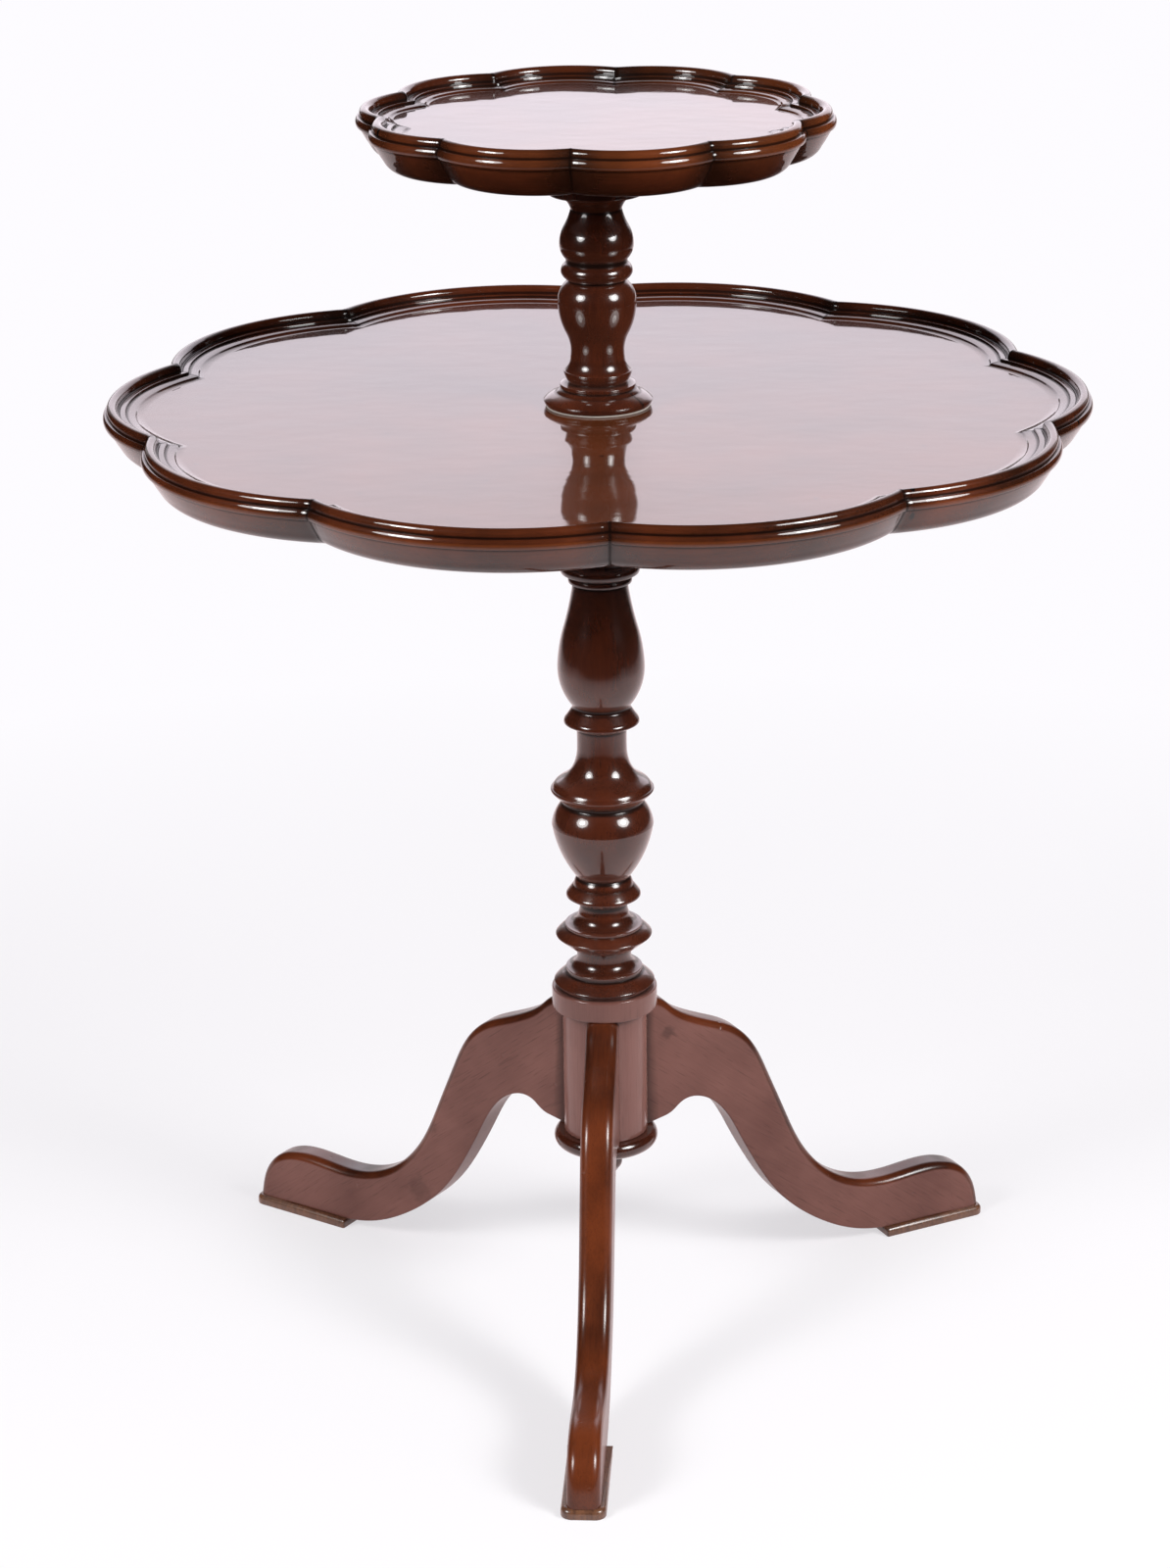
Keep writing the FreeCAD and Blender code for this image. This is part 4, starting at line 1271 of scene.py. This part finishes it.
@dataclass
class Hub:
    """The barrel that the legs are dovetailed into, with its collar, base cap and pendant."""

    finishes: Finishes
    screw_rule: Rule
    underside: float = 126.0
    barrel_radius: float = 27.4
    barrel_top: float = 214.3
    collar_radius: float = 34.1
    collar_tall: float = 14.2
    collar_bleach_and_light: float = 0.72
    barrel_easing: float = 1.2
    screws: int = 3
    groove_radius: float = 29.0
    groove_tall: float = 3.3
    cap_tall: float = 10.0
    cap_radius: float = 31.2
    cap_swell: float = 2.9
    cap_screw_ring: float = 21.5
    pendant_base: float = 91.0
    pendant_members: tuple[Spot, ...] = (
        (2.0, 4.6, 0.8), (4.0, 8.6, 0.5), (5.5, 10.6, 0.7), (4.5, 9.2, 0.5), (9.0, 16.0, -1.0),
    )

    def build(self) -> None:
        """Make the hub's pieces."""
        top = self.barrel_top + self.collar_tall
        hub = Outline((0.0, self.underside), ridge_easing=self.barrel_easing)
        hub.to(self.barrel_radius, self.underside)
        hub.to(self.barrel_radius, self.barrel_top).to(self.collar_radius, self.barrel_top)
        hub.to(self.collar_radius, top).to(self.groove_radius, top)
        hub.to(self.groove_radius, top + self.groove_tall).to(0.0, top + self.groove_tall)
        barrel = lathe("hub", hub)
        # the barrel painted pale for bleach and a painted reflection, the collar less so
        bare = (self.barrel_top - BLEACH_AND_LIGHT_EDGE) * MM
        bleach_and_light = (1.0 if vertex.co.z < bare else self.collar_bleach_and_light for vertex in barrel.vertices)
        store(barrel, "bleach_and_painted_light", bleach_and_light)
        base = self.underside - self.cap_tall
        cap = Outline((0.0, base)).to(self.cap_radius, base)
        cap.to(self.cap_radius, self.underside, self.cap_swell).to(0.0, self.underside)
        pendant = Outline((0.0, self.pendant_base)).members(self.pendant_members).to(0.0, base)
        for node, mesh in (
            ("hub", barrel), ("base_cap", lathe("base_cap", cap)), ("pendant", lathe("pendant", pendant)),
        ):
            place(f"{node}_turning", mesh, self.finishes.turned, Rider.STAND, node)
        steel, turn, slot_seed = self.finishes.steel, 90.0, 4
        ring = ScrewRing(self.screw_rule, steel, self.screws, self.cap_screw_ring, base, turn, slot_seed)
        ring.build("base_cap_screw_set", Rider.STAND, "base_cap_screws")


# ---------------------------------------------------------------- legs


class Spline:
    """A smooth curve through points in a plane, run by the length of its chords."""

    def __init__(self, points: Sequence[Point]) -> None:
        """Fit the curve.

        Args:
            points: Points that it goes through, in order.
        """
        self.knots = [0.0]
        for a, b in zip(points, points[1:]):
            self.knots.append(self.knots[-1] + math.dist(a, b))
        self.tracks = [
            (values, self.bends(values)) for values in ([p[0] for p in points], [p[1] for p in points])
        ]

    def bends(self, values: Sequence[float]) -> list[float]:
        """Second derivatives at the knots of a curve whose ends are free of bending.

        Args:
            values: One coordinate at each knot.

        Returns:
            The second derivatives.
        """
        last = len(values) - 1
        gaps = [b - a for a, b in zip(self.knots, self.knots[1:])]
        scaled, carried = [0.0] * (last + 1), [0.0] * (last + 1)
        for i in range(1, last):
            pull = 6 * ((values[i + 1] - values[i]) / gaps[i] - (values[i] - values[i - 1]) / gaps[i - 1])
            pivot = 2 * (gaps[i - 1] + gaps[i]) - gaps[i - 1] * scaled[i - 1]
            scaled[i] = gaps[i] / pivot
            carried[i] = (pull - gaps[i - 1] * carried[i - 1]) / pivot
        bent = [0.0] * (last + 1)
        for i in range(last - 1, 0, -1):
            bent[i] = carried[i] - scaled[i] * bent[i + 1]
        return bent

    def at(self, place_on: float) -> Point:
        """Point at a place on the curve.

        Args:
            place_on: The place, counted in knots, such as 2.5 for halfway between the third and fourth.

        Returns:
            The point.
        """
        i = min(max(int(place_on), 0), len(self.knots) - 2)
        gap = self.knots[i + 1] - self.knots[i]
        share = place_on - i
        rest = 1 - share
        found = []
        for values, bent in self.tracks:
            straight = values[i] * rest + values[i + 1] * share
            curve = ((rest ** 3 - rest) * bent[i] + (share ** 3 - share) * bent[i + 1]) * gap * gap / 6
            found.append(straight + curve)
        return found[0], found[1]


@dataclass
class Leg:
    """A cabriole leg with rounded crown edges, its foot pad under the toe."""

    finishes: Finishes
    hub: Hub
    side: str
    turn: float
    thick: float = 21.0
    edge_round: float = 6.0
    under_round: float = 0.9
    grain_tilt: float = 38.0
    hook_reach: float = 29.0
    heel: float = 208.0
    toe: float = 286.4
    sole: float = 6.5
    toe_share: float = 0.7  # of the way from heel to toe that a step past the heel goes
    cut_gap: float = 2.6  # between two cuts along the crown, at most
    look_round: float = 0.02  # knots to each side that give a cut its slope
    flat_spare: float = 0.6  # from a rounding to the next point on the flat beside it
    side_spare: float = 0.5  # the same on the leg's side
    # painted shade with wax at the barrel joint and under the collar: its reach in mm and its most share
    joint_shade_reach: float = 3.0
    most_joint_shade: float = 0.45
    board_shift: float = 0.013  # metres for each degree of turn, so that no two legs share their grain
    crown_shares: tuple[Point, ...] = (
        (0.0174, 0.9885), (0.0511, 0.9514), (0.1027, 0.9119), (0.1661, 0.8782), (0.2255, 0.8436),
        (0.2830, 0.7782), (0.3345, 0.6569), (0.3860, 0.5106), (0.4356, 0.3802), (0.4832, 0.2984),
        (0.5466, 0.2310), (0.6219, 0.1910), (0.7051, 0.1785), (0.8161, 0.1872), (0.8874, 0.1805),
        (0.9429, 0.1492), (0.9818, 0.0890),
    )
    underside_shares: tuple[Point, ...] = (
        (0.0307, 1.0159), (0.0726, 1.0326), (0.0972, 1.0561), (0.1223, 1.0854), (0.1564, 1.1029),
        (0.1983, 1.0971), (0.2514, 1.0569), (0.3129, 0.9582), (0.3743, 0.7908), (0.4497, 0.5816),
        (0.5363, 0.3891), (0.6425, 0.2344), (0.7486, 0.1256), (0.8603, 0.0461), (0.9442, 0.0125),
    )
    # For each point of the crown, the place on the underside that it faces: 1 at the hook, 17 at the heel.
    facing: tuple[float, ...] = (
        2.1, 2.55, 3.1, 4.8, 6.45, 7.55, 8.45, 9.25, 10.3, 11.3, 12.25, 13.4, 14.65, 16.6, 17.4, 17.65,
        17.8, 17.92, 18.0,
    )
    pad_heel: float = 210.0
    pad_toe: float = 288.2
    pad_width: float = 28.0
    pad_toe_round: float = 7.0
    pad_heel_round: float = 1.5
    pad_edge_round: float = 3.2
    pad_foot: tuple[Point, ...] = ((0.0, 0.5), (0.25, 0.12), (0.6, 0.0))

    def build(self) -> None:
        """Make the leg and its pad."""
        leg, pad = f"leg_{self.side}", f"foot_pad_{self.side}"
        place(f"{leg}_carving", self.leg_mesh(leg), self.finishes.leg, Rider.STAND, leg)
        place(f"{pad}_block", self.pad_mesh(pad), self.finishes.pad, Rider.STAND, pad)

    def spanned(self, upper: Point, lower: Point, shares: Sequence[Point]) -> Spline:
        """Curve from an upper point out and down to a lower one.

        Args:
            upper: First point.
            lower: Last point.
            shares: Points between them, as shares of the span out and of the fall.

        Returns:
            The curve.
        """
        span, fall = lower[0] - upper[0], upper[1] - lower[1]
        between = [(upper[0] + span * out, lower[1] + fall * up) for out, up in shares]
        return Spline([upper, *between, lower])

    def sections(self) -> list[tuple[Point, Point, Point]]:
        """Where the leg is cut across from the barrel to the toe.

        Returns:
            For each cut, its crown point, the way in from the crown and the underside point.
        """
        hub, hook = self.hub, (self.hook_reach, self.hub.underside)
        crown = self.spanned((hub.collar_radius, hub.barrel_top), (self.toe, self.sole), self.crown_shares)
        under = self.spanned(hook, (self.heel, self.sole), self.underside_shares)
        last_under = len(under.knots)

        def underside(where: float) -> Point:
            """Point on the underside.

            Args:
                where: 0 at the barrel, 1 at the hook, and then a knot of the curve each, past the last for
                    the stretch from the heel to under the toe.

            Returns:
                The point.
            """
            if where <= 1:
                return hub.barrel_radius + (hook[0] - hub.barrel_radius) * where, hook[1]
            if where >= last_under:
                return self.heel + (where - last_under) * (self.toe - self.heel) * self.toe_share, self.sole
            return under.at(where - 1)

        cuts = [((hub.barrel_radius, hub.barrel_top), (0.0, -1.0), underside(0.0))]
        for i, (low, high) in enumerate(zip(self.facing, self.facing[1:])):
            steps = max(2, math.ceil((crown.knots[i + 1] - crown.knots[i]) / self.cut_gap))
            for k in range(steps + (i == len(self.facing) - 2)):
                where = i + k / steps
                a = crown.at(max(where - self.look_round, 0.0))
                b = crown.at(min(where + self.look_round, len(crown.knots) - 1.0))
                long = math.dist(a, b)
                inward = ((b[1] - a[1]) / long, -(b[0] - a[0]) / long)
                cuts.append((crown.at(where), inward, underside(low + (high - low) * k / steps)))
        return cuts

    def ring(self, crown: Point, inward: Point, under: Point) -> list[Spot]:
        """One cut across the leg, from the middle of the underside round by the left side.

        Args:
            crown: Point on the crown's middle line.
            inward: Unit step from the crown into the wood.
            under: Point on the underside's middle line.

        Returns:
            Points round the whole cut as distance along the leg, offset across it and height.
        """
        half, edge, small = self.thick / 2, self.edge_round, self.under_round
        start = (crown[0] + inward[0] * edge, crown[1] + inward[1] * edge)
        up = (start[0] - under[0], start[1] - under[1])
        tall = math.hypot(*up)
        up = (up[0] / tall, up[1] / tall)
        flank: list[Spot] = [(0.0, *under), (half - small - self.flat_spare, *under)]
        for i in range(UNDER_STEPS + 1):
            turn = math.pi / 2 * i / UNDER_STEPS
            rise = small * (1 - math.cos(turn))
            across = half - small + small * math.sin(turn)
            flank.append((across, under[0] + up[0] * rise, under[1] + up[1] * rise))
        for rise in (small + self.side_spare, tall - self.side_spare):
            flank.append((half, under[0] + up[0] * rise, under[1] + up[1] * rise))
        for i in range(CROWN_STEPS + 1):
            turn = math.pi / 2 * i / CROWN_STEPS
            across, deep = half - edge + edge * math.cos(turn), edge * (1 - math.sin(turn))
            flank.append((across, crown[0] + inward[0] * deep, crown[1] + inward[1] * deep))
        flank += [(half - edge - self.flat_spare, *crown), (0.0, *crown)]
        left = [(x, across, z) for across, x, z in flank]
        return left + [(x, -across, z) for x, across, z in left[-2:0:-1]]

    def turned(self, rings: Iterable[Iterable[Spot]]) -> list[list[Spot]]:
        """Rings drawn along +X, turned to where the leg stands."""
        spin = Matrix.Rotation(math.radians(self.turn), 3, "Z")
        return [[tuple(spin @ Vector(spot)) for spot in ring] for ring in rings]

    def leg_mesh(self, name: str) -> bpy.types.Mesh:
        """Join the cuts into the leg.

        Args:
            name: Name of the mesh.

        Returns:
            The leg, with wax and painted shade, sides bleached and painted pale as a reflection, and its
            place in the board it was sawn from.
        """
        rings = [self.ring(*cut) for cut in self.sections()]
        rings[0] = [(math.sqrt(self.hub.barrel_radius ** 2 - y * y), y, z) for _, y, z in rings[0]]
        mesh = skin(name, self.turned(rings))
        width, spots = len(rings[0]), [spot for ring in rings for spot in ring]
        # painted shade with the joint's wax, beside the barrel and under the collar, kept as hollow
        store(mesh, "hollow", map(self.joint_wax_and_shade, spots))
        # the flat sides bleached and painted pale as a reflection; the crown keeps its own colour
        store(mesh, "bleach_and_painted_light", [float(min(k, width - k) <= ROUND_FLANK) for k in range(width)] * len(rings))
        tilt = math.radians(self.grain_tilt)
        board = ((x * math.cos(tilt) - z * math.sin(tilt), y, x * math.sin(tilt) + z * math.cos(tilt))
                 for x, y, z in spots)
        kept = mesh.attributes.new(Laid.IN_BOARD.value, "FLOAT_VECTOR", "POINT")
        shift = self.turn * self.board_shift
        kept.data.foreach_set("vector", [part * MM + shift for spot in board for part in spot])
        return mesh

    def joint_wax_and_shade(self, spot: Sequence[float]) -> float:
        """How much dark wax and painted shade a point holds: along the joint with the barrel and under the
        collar, where shade falls.

        Args:
            spot: The point on the leg as drawn along +X.

        Returns:
            Its share of wax and painted shade.
        """
        x, y, z = spot
        near = math.hypot(x, y) - self.hub.barrel_radius
        if near < self.hub.collar_radius - self.hub.barrel_radius:
            near = min(near, self.hub.barrel_top - z)
        return max(0.0, self.most_joint_shade * (1 - near / self.joint_shade_reach))

    def pad_mesh(self, name: str) -> bpy.types.Mesh:
        """The pad: its plan with rounded corners, carried up and over a rounded arris.

        Args:
            name: Name of the mesh.

        Returns:
            The mesh.
        """
        bend = self.pad_edge_round
        levels = [*self.pad_foot, (self.sole - bend, 0.0)]
        for i in range(1, PAD_EDGE_STEPS + 1):
            turn = math.pi / 2 * i / PAD_EDGE_STEPS
            levels.append((self.sole - bend * (1 - math.sin(turn)), bend * (1 - math.cos(turn))))
        rings = [[(x, y, height) for x, y in self.pad_plan(inset)] for height, inset in levels]
        return skin(name, self.turned(rings))

    def pad_plan(self, inset: float) -> list[Point]:
        """Plan of the pad, anticlockwise.

        Args:
            inset: How far inside the full plan.

        Returns:
            Its points.
        """
        half, middle = self.pad_width / 2, (self.pad_toe + self.pad_heel) / 2
        corners = (
            (self.pad_toe, half, self.pad_toe_round), (self.pad_heel, half, self.pad_heel_round),
            (self.pad_heel, -half, self.pad_heel_round), (self.pad_toe, -half, self.pad_toe_round),
        )
        drawn = []
        for quarter, (x, y, bend) in enumerate(corners):
            along, across = math.copysign(1.0, x - middle), math.copysign(1.0, y)
            reach, sunk = max(bend - inset, LEAST_BEND), bend + min(bend - inset, 0.0)
            for i in range(PAD_CORNER_STEPS + 1):
                turn = math.pi / 2 * (quarter + i / PAD_CORNER_STEPS)
                drawn.append((
                    x - along * sunk + reach * math.cos(turn), y - across * sunk + reach * math.sin(turn),
                ))
        return drawn


# ---------------------------------------------------------------- trays


@dataclass
class Tray:
    """A lobed, dished tray with its boss and screws, all of which turn together."""

    finishes: Finishes
    board_rule: Rule
    screw_rule: Rule
    rider: Rider
    base: float
    peak_radius: float
    cusp_radius: float
    turn: float
    bore_radius: float
    bore_deep: float
    boss_tall: float
    boss_radius: float
    flange_radius: float
    steps: int
    # side, strength and rim strength of the paint that is part bleach, part painted light
    painted_light_side: float
    bleach_and_light: float
    rim_bleach_and_light: float
    # how much painted shade darkens the board toward its underside
    painted_underside_shade: float
    lobes: int = 10
    board: float = 21.0
    flange_thick: float = 7.5
    arris: float = 0.9
    band_tall: float = 5.0
    cove: float = 1.6
    screw_margin: float = 7.0
    belly_inset: float = 20.0
    field_inset: float = 21.2
    # reach in mm of the painted shade beside each mitre
    mitre_painted_shade_reach: float = 20.0
    field_spare: float = 0.2
    screws: int = 4
    slot_seed: int = 7
    boss_easing: float = 0.7
    dished_shares: tuple[float, ...] = (0.02, 0.12, 0.3, 0.5, 0.7, 0.85, 0.95, 1.0)
    belly_shares: tuple[float, ...] = (1.0, 0.95, 0.6, 0.2, 0.03, 0.0)
    rim: tuple[Spot, ...] = (
        (8.6, -13.9, 2.0), (2.3, -3.2, 0.2), (0.8, -2.8, 0.0), (1.2, 2.7, 0.85), (2.7, 3.0, 0.0),
        (2.7, 5.1, 0.0), (9.2, 5.1, 3.3), (9.6, 3.2, 0.0), (10.9, 3.3, -0.2), (14.0, 3.4, 0.0),
        (14.4, 1.9, 0.0), (20.2, 1.1, 0.1),
    )

    def build(self) -> None:
        """Make the board, the boss and the screws."""
        tier, steel = self.rider.value, self.finishes.steel
        board = self.board_rule.bake(f"{tier}_board", self.section_mesh(), self.board_values())
        store(board, "bleach_and_painted_light", (self.bleach_and_light_share(vertex.co) for vertex in board.vertices))
        place(f"{tier}_board", board, self.finishes.tray, self.rider, tier)
        boss = lathe(f"{tier}_boss", self.boss_outline())
        place(f"{tier}_boss_turning", boss, self.finishes.turned, self.rider, f"{tier}_boss")
        radius, height = self.flange_radius - self.screw_margin, self.base - self.flange_thick
        ring = ScrewRing(self.screw_rule, steel, self.screws, radius, height, self.turn, self.slot_seed)
        ring.build(f"{tier}_screw_set", self.rider, f"{tier.split('_')[0]}_boss_screws")

    def bleach_and_light_share(self, spot: Vector) -> float:
        """Pale orange at a spot, part bleach and part painted light, most toward one side and on the upper
        faces.

        Args:
            spot: The spot, in metres.

        Returns:
            Share of bleach and painted light.
        """
        # painted light with some bleach: paler toward one side and on the upper faces than on the underside
        away = math.atan2(spot.y, spot.x) - math.radians(self.painted_light_side)
        lit = min(1.0, max(0.0, (spot.z / MM - self.base) / self.board))
        most = self.rim_bleach_and_light if spot.z / MM > self.base + self.board + self.field_spare else self.bleach_and_light
        return most * (0.5 + 0.5 * math.cos(away)) * lit ** 3

    def lobe(self) -> tuple[float, float]:
        """Reckon the lobes from their peaks and cusps.

        Returns:
            Radius of a lobe's outline and distance of its centre from the axis.
        """
        half = math.pi / self.lobes
        chord, rise = self.cusp_radius * math.sin(half), self.peak_radius - self.cusp_radius * math.cos(half)
        radius = (chord ** 2 + rise ** 2) / (2 * rise)
        return radius, self.peak_radius - radius

    def board_values(self) -> dict[str, Any]:
        """Gather what the board rule asks for.

        Returns:
            Values of its named inputs.
        """
        radius, centre = self.lobe()
        return {
            "Lobe Radius": radius * MM, "Lobe Centre": centre * MM, "Lobes": self.lobes,
            "Steps in a Lobe": self.steps, "Turn": math.radians(self.turn),
            "Mitre Painted Shade Reach": self.mitre_painted_shade_reach * MM, "Material": self.finishes.tray.material,
        }

    def section_mesh(self) -> bpy.types.Mesh:
        """The board's section as loose points, with how far each one has gone over to a round core.

        Returns:
            A mesh of points for the board rule.
        """
        field_height = self.base + self.board
        edge = Outline((-self.belly_inset, self.base), ridge_easing=0.5, quirk_easing=0.1)
        for inset, height, swell in self.rim:
            edge.to(-inset, field_height + height, swell)
        edge.to(-self.field_inset, field_height)
        line = edge.points()
        # painted shade: the section darkens toward the board's underside, below the rim
        deep = [max(share, self.painted_underside_shade * (field_height - z) / self.board)
                for (_, z), share in zip(line, hollows(line, 2.6, 0.7))]
        rows = [(-x, z, 0.0, 0.0, share) for (x, z), share in zip(line, deep)]
        rows[-1] = (self.field_inset, field_height, 0.0, 0.0, 0.0)
        blind = self.bore_deep < self.board
        inner = 0.0 if blind else self.bore_radius
        rows += [(self.field_inset, field_height, share, inner, 0.0) for share in self.dished_shares]
        if blind:
            end = self.base + self.bore_deep
            rows += [(self.field_inset, end, 1.0, core, 0.0) for core in (0.0, self.bore_radius)]
        rows += [(self.belly_inset, self.base, share, self.bore_radius, 0.0) for share in self.belly_shares]
        mesh = bpy.data.meshes.new("board_section")
        mesh.from_pydata([(inset * MM, 0.0, z * MM) for inset, z, *_ in rows], [], [])
        for name, column, unit in (("inward", 2, 1.0), ("core", 3, MM), ("hollow", 4, 1.0)):
            store(mesh, name, (row[column] * unit for row in rows))
        return mesh

    def boss_outline(self) -> Outline:
        """The boss, from its hole out over the foot and the flange.

        Returns:
            Its closed outline.
        """
        foot, arris = self.base - self.boss_tall, self.arris
        hole, ledge = self.bore_radius, self.base - self.flange_thick
        outline = Outline((hole, foot), ridge_easing=self.boss_easing).to(self.boss_radius - arris, foot)
        outline.to(self.boss_radius, foot + arris).to(self.boss_radius, foot + self.band_tall)
        outline.to(self.boss_radius, ledge, -self.cove).to(self.flange_radius - arris, ledge)
        outline.to(self.flange_radius, ledge + arris).to(self.flange_radius, self.base)
        return outline.to(hole, self.base).to(hole, foot)


# ---------------------------------------------------------------- studio


class LampCut(Enum):
    """Outline of a lamp's diffuser."""

    ROUND = "ELLIPSE"
    SQUARE = "RECTANGLE"


@dataclass(frozen=True)
class SoftBox:
    """A lamp with a diffuser, aimed at a point on the table."""

    name: str
    place: Spot
    wide: float
    tall: float
    power: float
    aim: Spot = (0.0, 0.0, 0.5)
    cut: LampCut = LampCut.ROUND
    tint: Colour = (1.0, 1.0, 1.0)

    def build(self) -> None:
        """Hang the lamp."""
        lamp = bpy.data.lights.new(self.name, "AREA")
        lamp.shape, lamp.size, lamp.size_y, lamp.energy = self.cut.value, self.wide, self.tall, self.power
        lamp.color = self.tint
        holder = put_in_scene(self.name, lamp)
        holder.location = self.place
        way = Vector(self.aim) - Vector(self.place)
        holder.rotation_euler = way.to_track_quat("-Z", "Y").to_euler()


@dataclass
class Studio:
    """Pale floor, soft lamps, a pale room and the camera, in metres."""

    floor_reach: float = 14.0
    floor_colour: Colour = (0.9, 0.89, 0.9)
    pale: Colour = (0.985, 0.97, 1.0)
    fill_near: float = 0.62
    fill_reach: Span = (0.45, 1.3)
    room_light: float = 0.2
    mirrored: float = 0.8
    mirrored_floor: Colour = (1.0, 0.85, 0.87)
    floor_dark_ahead: Span = (0.3, 1.5)
    floor_dark_aside: Span = (1.0, 2.5)
    room_dark_to_white: tuple[Span, Span, Span] = ((-0.1, 0.3), (0.62, 0.32), (0.8, 0.5))
    lamps: tuple[SoftBox, ...] = (
        SoftBox("left_softbox", (-2.02, -1.62, 1.95), 1.4, 1.4, 46.0),
        SoftBox("left_softbox_core", (-2.0, -1.6, 1.94), 0.6, 0.6, 20.0),
        SoftBox("right_softbox", (2.15, -1.3, 1.95), 1.4, 1.4, 58.0),
        SoftBox("right_softbox_core", (2.13, -1.29, 1.94), 0.6, 0.6, 26.0),
        SoftBox("rear_panel", (0.0, 2.6, 1.5), 3.0, 1.4, 14.3, (0.0, 0.0, 0.7), LampCut.SQUARE,
                (1.0, 0.86, 0.98)),
    )
    camera_place: Spot = (0.13441, -2.35254, 1.24117)
    camera_axes: tuple[Spot, Spot, Spot] = (
        (0.99828356, -0.0090472, 0.05786265),
        (0.05739101, 0.3480087, -0.93573298),
        (-0.01167094, 0.93744765, 0.34793059),
    )
    lens: float = 90.365
    sensor: float = 36.0
    sight: float = 100.0

    def build(self) -> None:
        """Set up everything round the table."""
        self.floor()
        self.room()
        for lamp in self.lamps:
            lamp.build()
        self.camera()
        bpy.context.scene.view_settings.view_transform = "Standard"

    def floor(self) -> None:
        """A plain pale floor, darker where the polish mirrors it ahead of the table and far aside."""
        reach = self.floor_reach / MM
        corners = [(-reach, -reach, 0), (reach, -reach, 0), (reach, reach, 0), (-reach, reach, 0)]
        mesh = new_mesh("floor", corners, [(0, 1, 2, 3)])
        shader = Shader("floor_paint")
        shader.set(Base_Color=opaque(self.floor_colour), Roughness=0.9, Specular_IOR_Level=0.1)
        rays = shader.add("ShaderNodeLightPath")
        mirrored = shader.math("MAXIMUM", rays["Is Glossy Ray"], rays["Is Transmission Ray"])
        spot = shader.add("ShaderNodeTexCoord")["Object"]
        along = shader.add("ShaderNodeSeparateXYZ", {0: spot})
        ahead = shader.spread(along[1] * -1.0, *self.floor_dark_ahead)
        aside = shader.spread(shader.math("ABSOLUTE", along[0]), *self.floor_dark_aside)
        dim = mirrored * shader.math("MAXIMUM", ahead, aside)
        away = shader.add("ShaderNodeVectorMath", {0: spot}, operation="LENGTH")["Value"]
        share = shader.math("MAXIMUM", shader.spread(away, *self.fill_reach, self.fill_near, 1.0), dim)
        glow = shader.add("ShaderNodeEmission", {
            "Color": shader.blend(mirrored, self.pale, self.mirrored_floor), "Strength": 1.0 - dim,
        })
        mixed = shader.add("ShaderNodeMixShader", {
            0: share * shader.math("MAXIMUM", rays["Is Camera Ray"], mirrored),
            1: Output(shader, shader.surface), 2: glow,
        })
        out = next(node for node in shader.tree.nodes if node.type == "OUTPUT_MATERIAL")
        shader.put(out.inputs[0], mixed)
        mesh.materials.append(shader.material)
        put_in_scene("floor", mesh)

    def room(self) -> None:
        """Pale room: even light, white where it is seen or mirrored behind the table, dark before it."""
        world = bpy.data.worlds.new("room")
        world.use_nodes = True
        world.node_tree.nodes.clear()
        nodes = Nodes(world.node_tree)
        way = nodes.add("ShaderNodeSeparateXYZ", {0: nodes.add("ShaderNodeTexCoord")["Generated"]})
        toward = (way[1], nodes.math("ABSOLUTE", way[0]), way[2])
        back, aside, up = (
            nodes.spread(share, *span, 0.0, most, interpolation_type="SMOOTHSTEP")
            for share, span, most in zip(toward, self.room_dark_to_white, (self.mirrored, 1.0, 1.0))
        )
        rays = nodes.add("ShaderNodeLightPath")
        white = back * aside * up
        glossy = nodes.add("ShaderNodeMix", {0: rays["Is Glossy Ray"], 2: self.room_light, 3: white})
        seen = nodes.add("ShaderNodeMix", {0: rays["Is Camera Ray"], 2: glossy, 3: 1.0})
        glow = nodes.add("ShaderNodeBackground", {"Color": opaque(self.pale), "Strength": seen})
        nodes.put(nodes.tree.nodes.new("ShaderNodeOutputWorld").inputs[0], glow)
        bpy.context.scene.world = world

    def camera(self) -> None:
        """Stand the camera at its place."""
        eye = bpy.data.cameras.new("camera")
        eye.lens, eye.sensor_width, eye.sensor_fit, eye.clip_end = self.lens, self.sensor, "AUTO", self.sight
        holder = put_in_scene("camera", eye)
        holder.matrix_world = Matrix.LocRotScale(Vector(self.camera_place), Matrix(self.camera_axes), None)
        bpy.context.scene.camera = holder


# ---------------------------------------------------------------- the whole table


def main() -> None:
    """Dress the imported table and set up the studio."""
    logging.basicConfig(level=logging.INFO, format="%(name)s: %(message)s")
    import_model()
    finishes = Finishes()
    board_rule, screw_rule = lobed_board_rule(), screw_ring_rule()
    hub = Hub(finishes, screw_rule)
    for side, turn in (("front", -90.0), ("right", 30.0), ("left", 150.0)):
        Leg(finishes, hub, side, turn).build()
    hub.build()
    Column(finishes).build()
    Tray(
        finishes, board_rule, screw_rule, Rider.LOWER, base=595.0, peak_radius=304.6, cusp_radius=287.0,
        turn=4.4, bore_radius=14.05, bore_deep=22.0, boss_tall=23.0, boss_radius=30.0, flange_radius=46.0,
        steps=48, painted_light_side=-80.0, bleach_and_light=0.42, rim_bleach_and_light=0.1, painted_underside_shade=0.14,
    ).build()
    Tray(
        finishes, board_rule, screw_rule, Rider.UPPER, base=771.6, peak_radius=145.3, cusp_radius=136.6,
        turn=-2.9, bore_radius=9.05, bore_deep=13.0, boss_tall=23.6, boss_radius=29.8, flange_radius=44.0,
        steps=36, painted_light_side=-35.0, bleach_and_light=0.4, rim_bleach_and_light=0.4, painted_underside_shade=0.42,
    ).build()
    Studio().build()


if __name__ == "__main__":
    main()
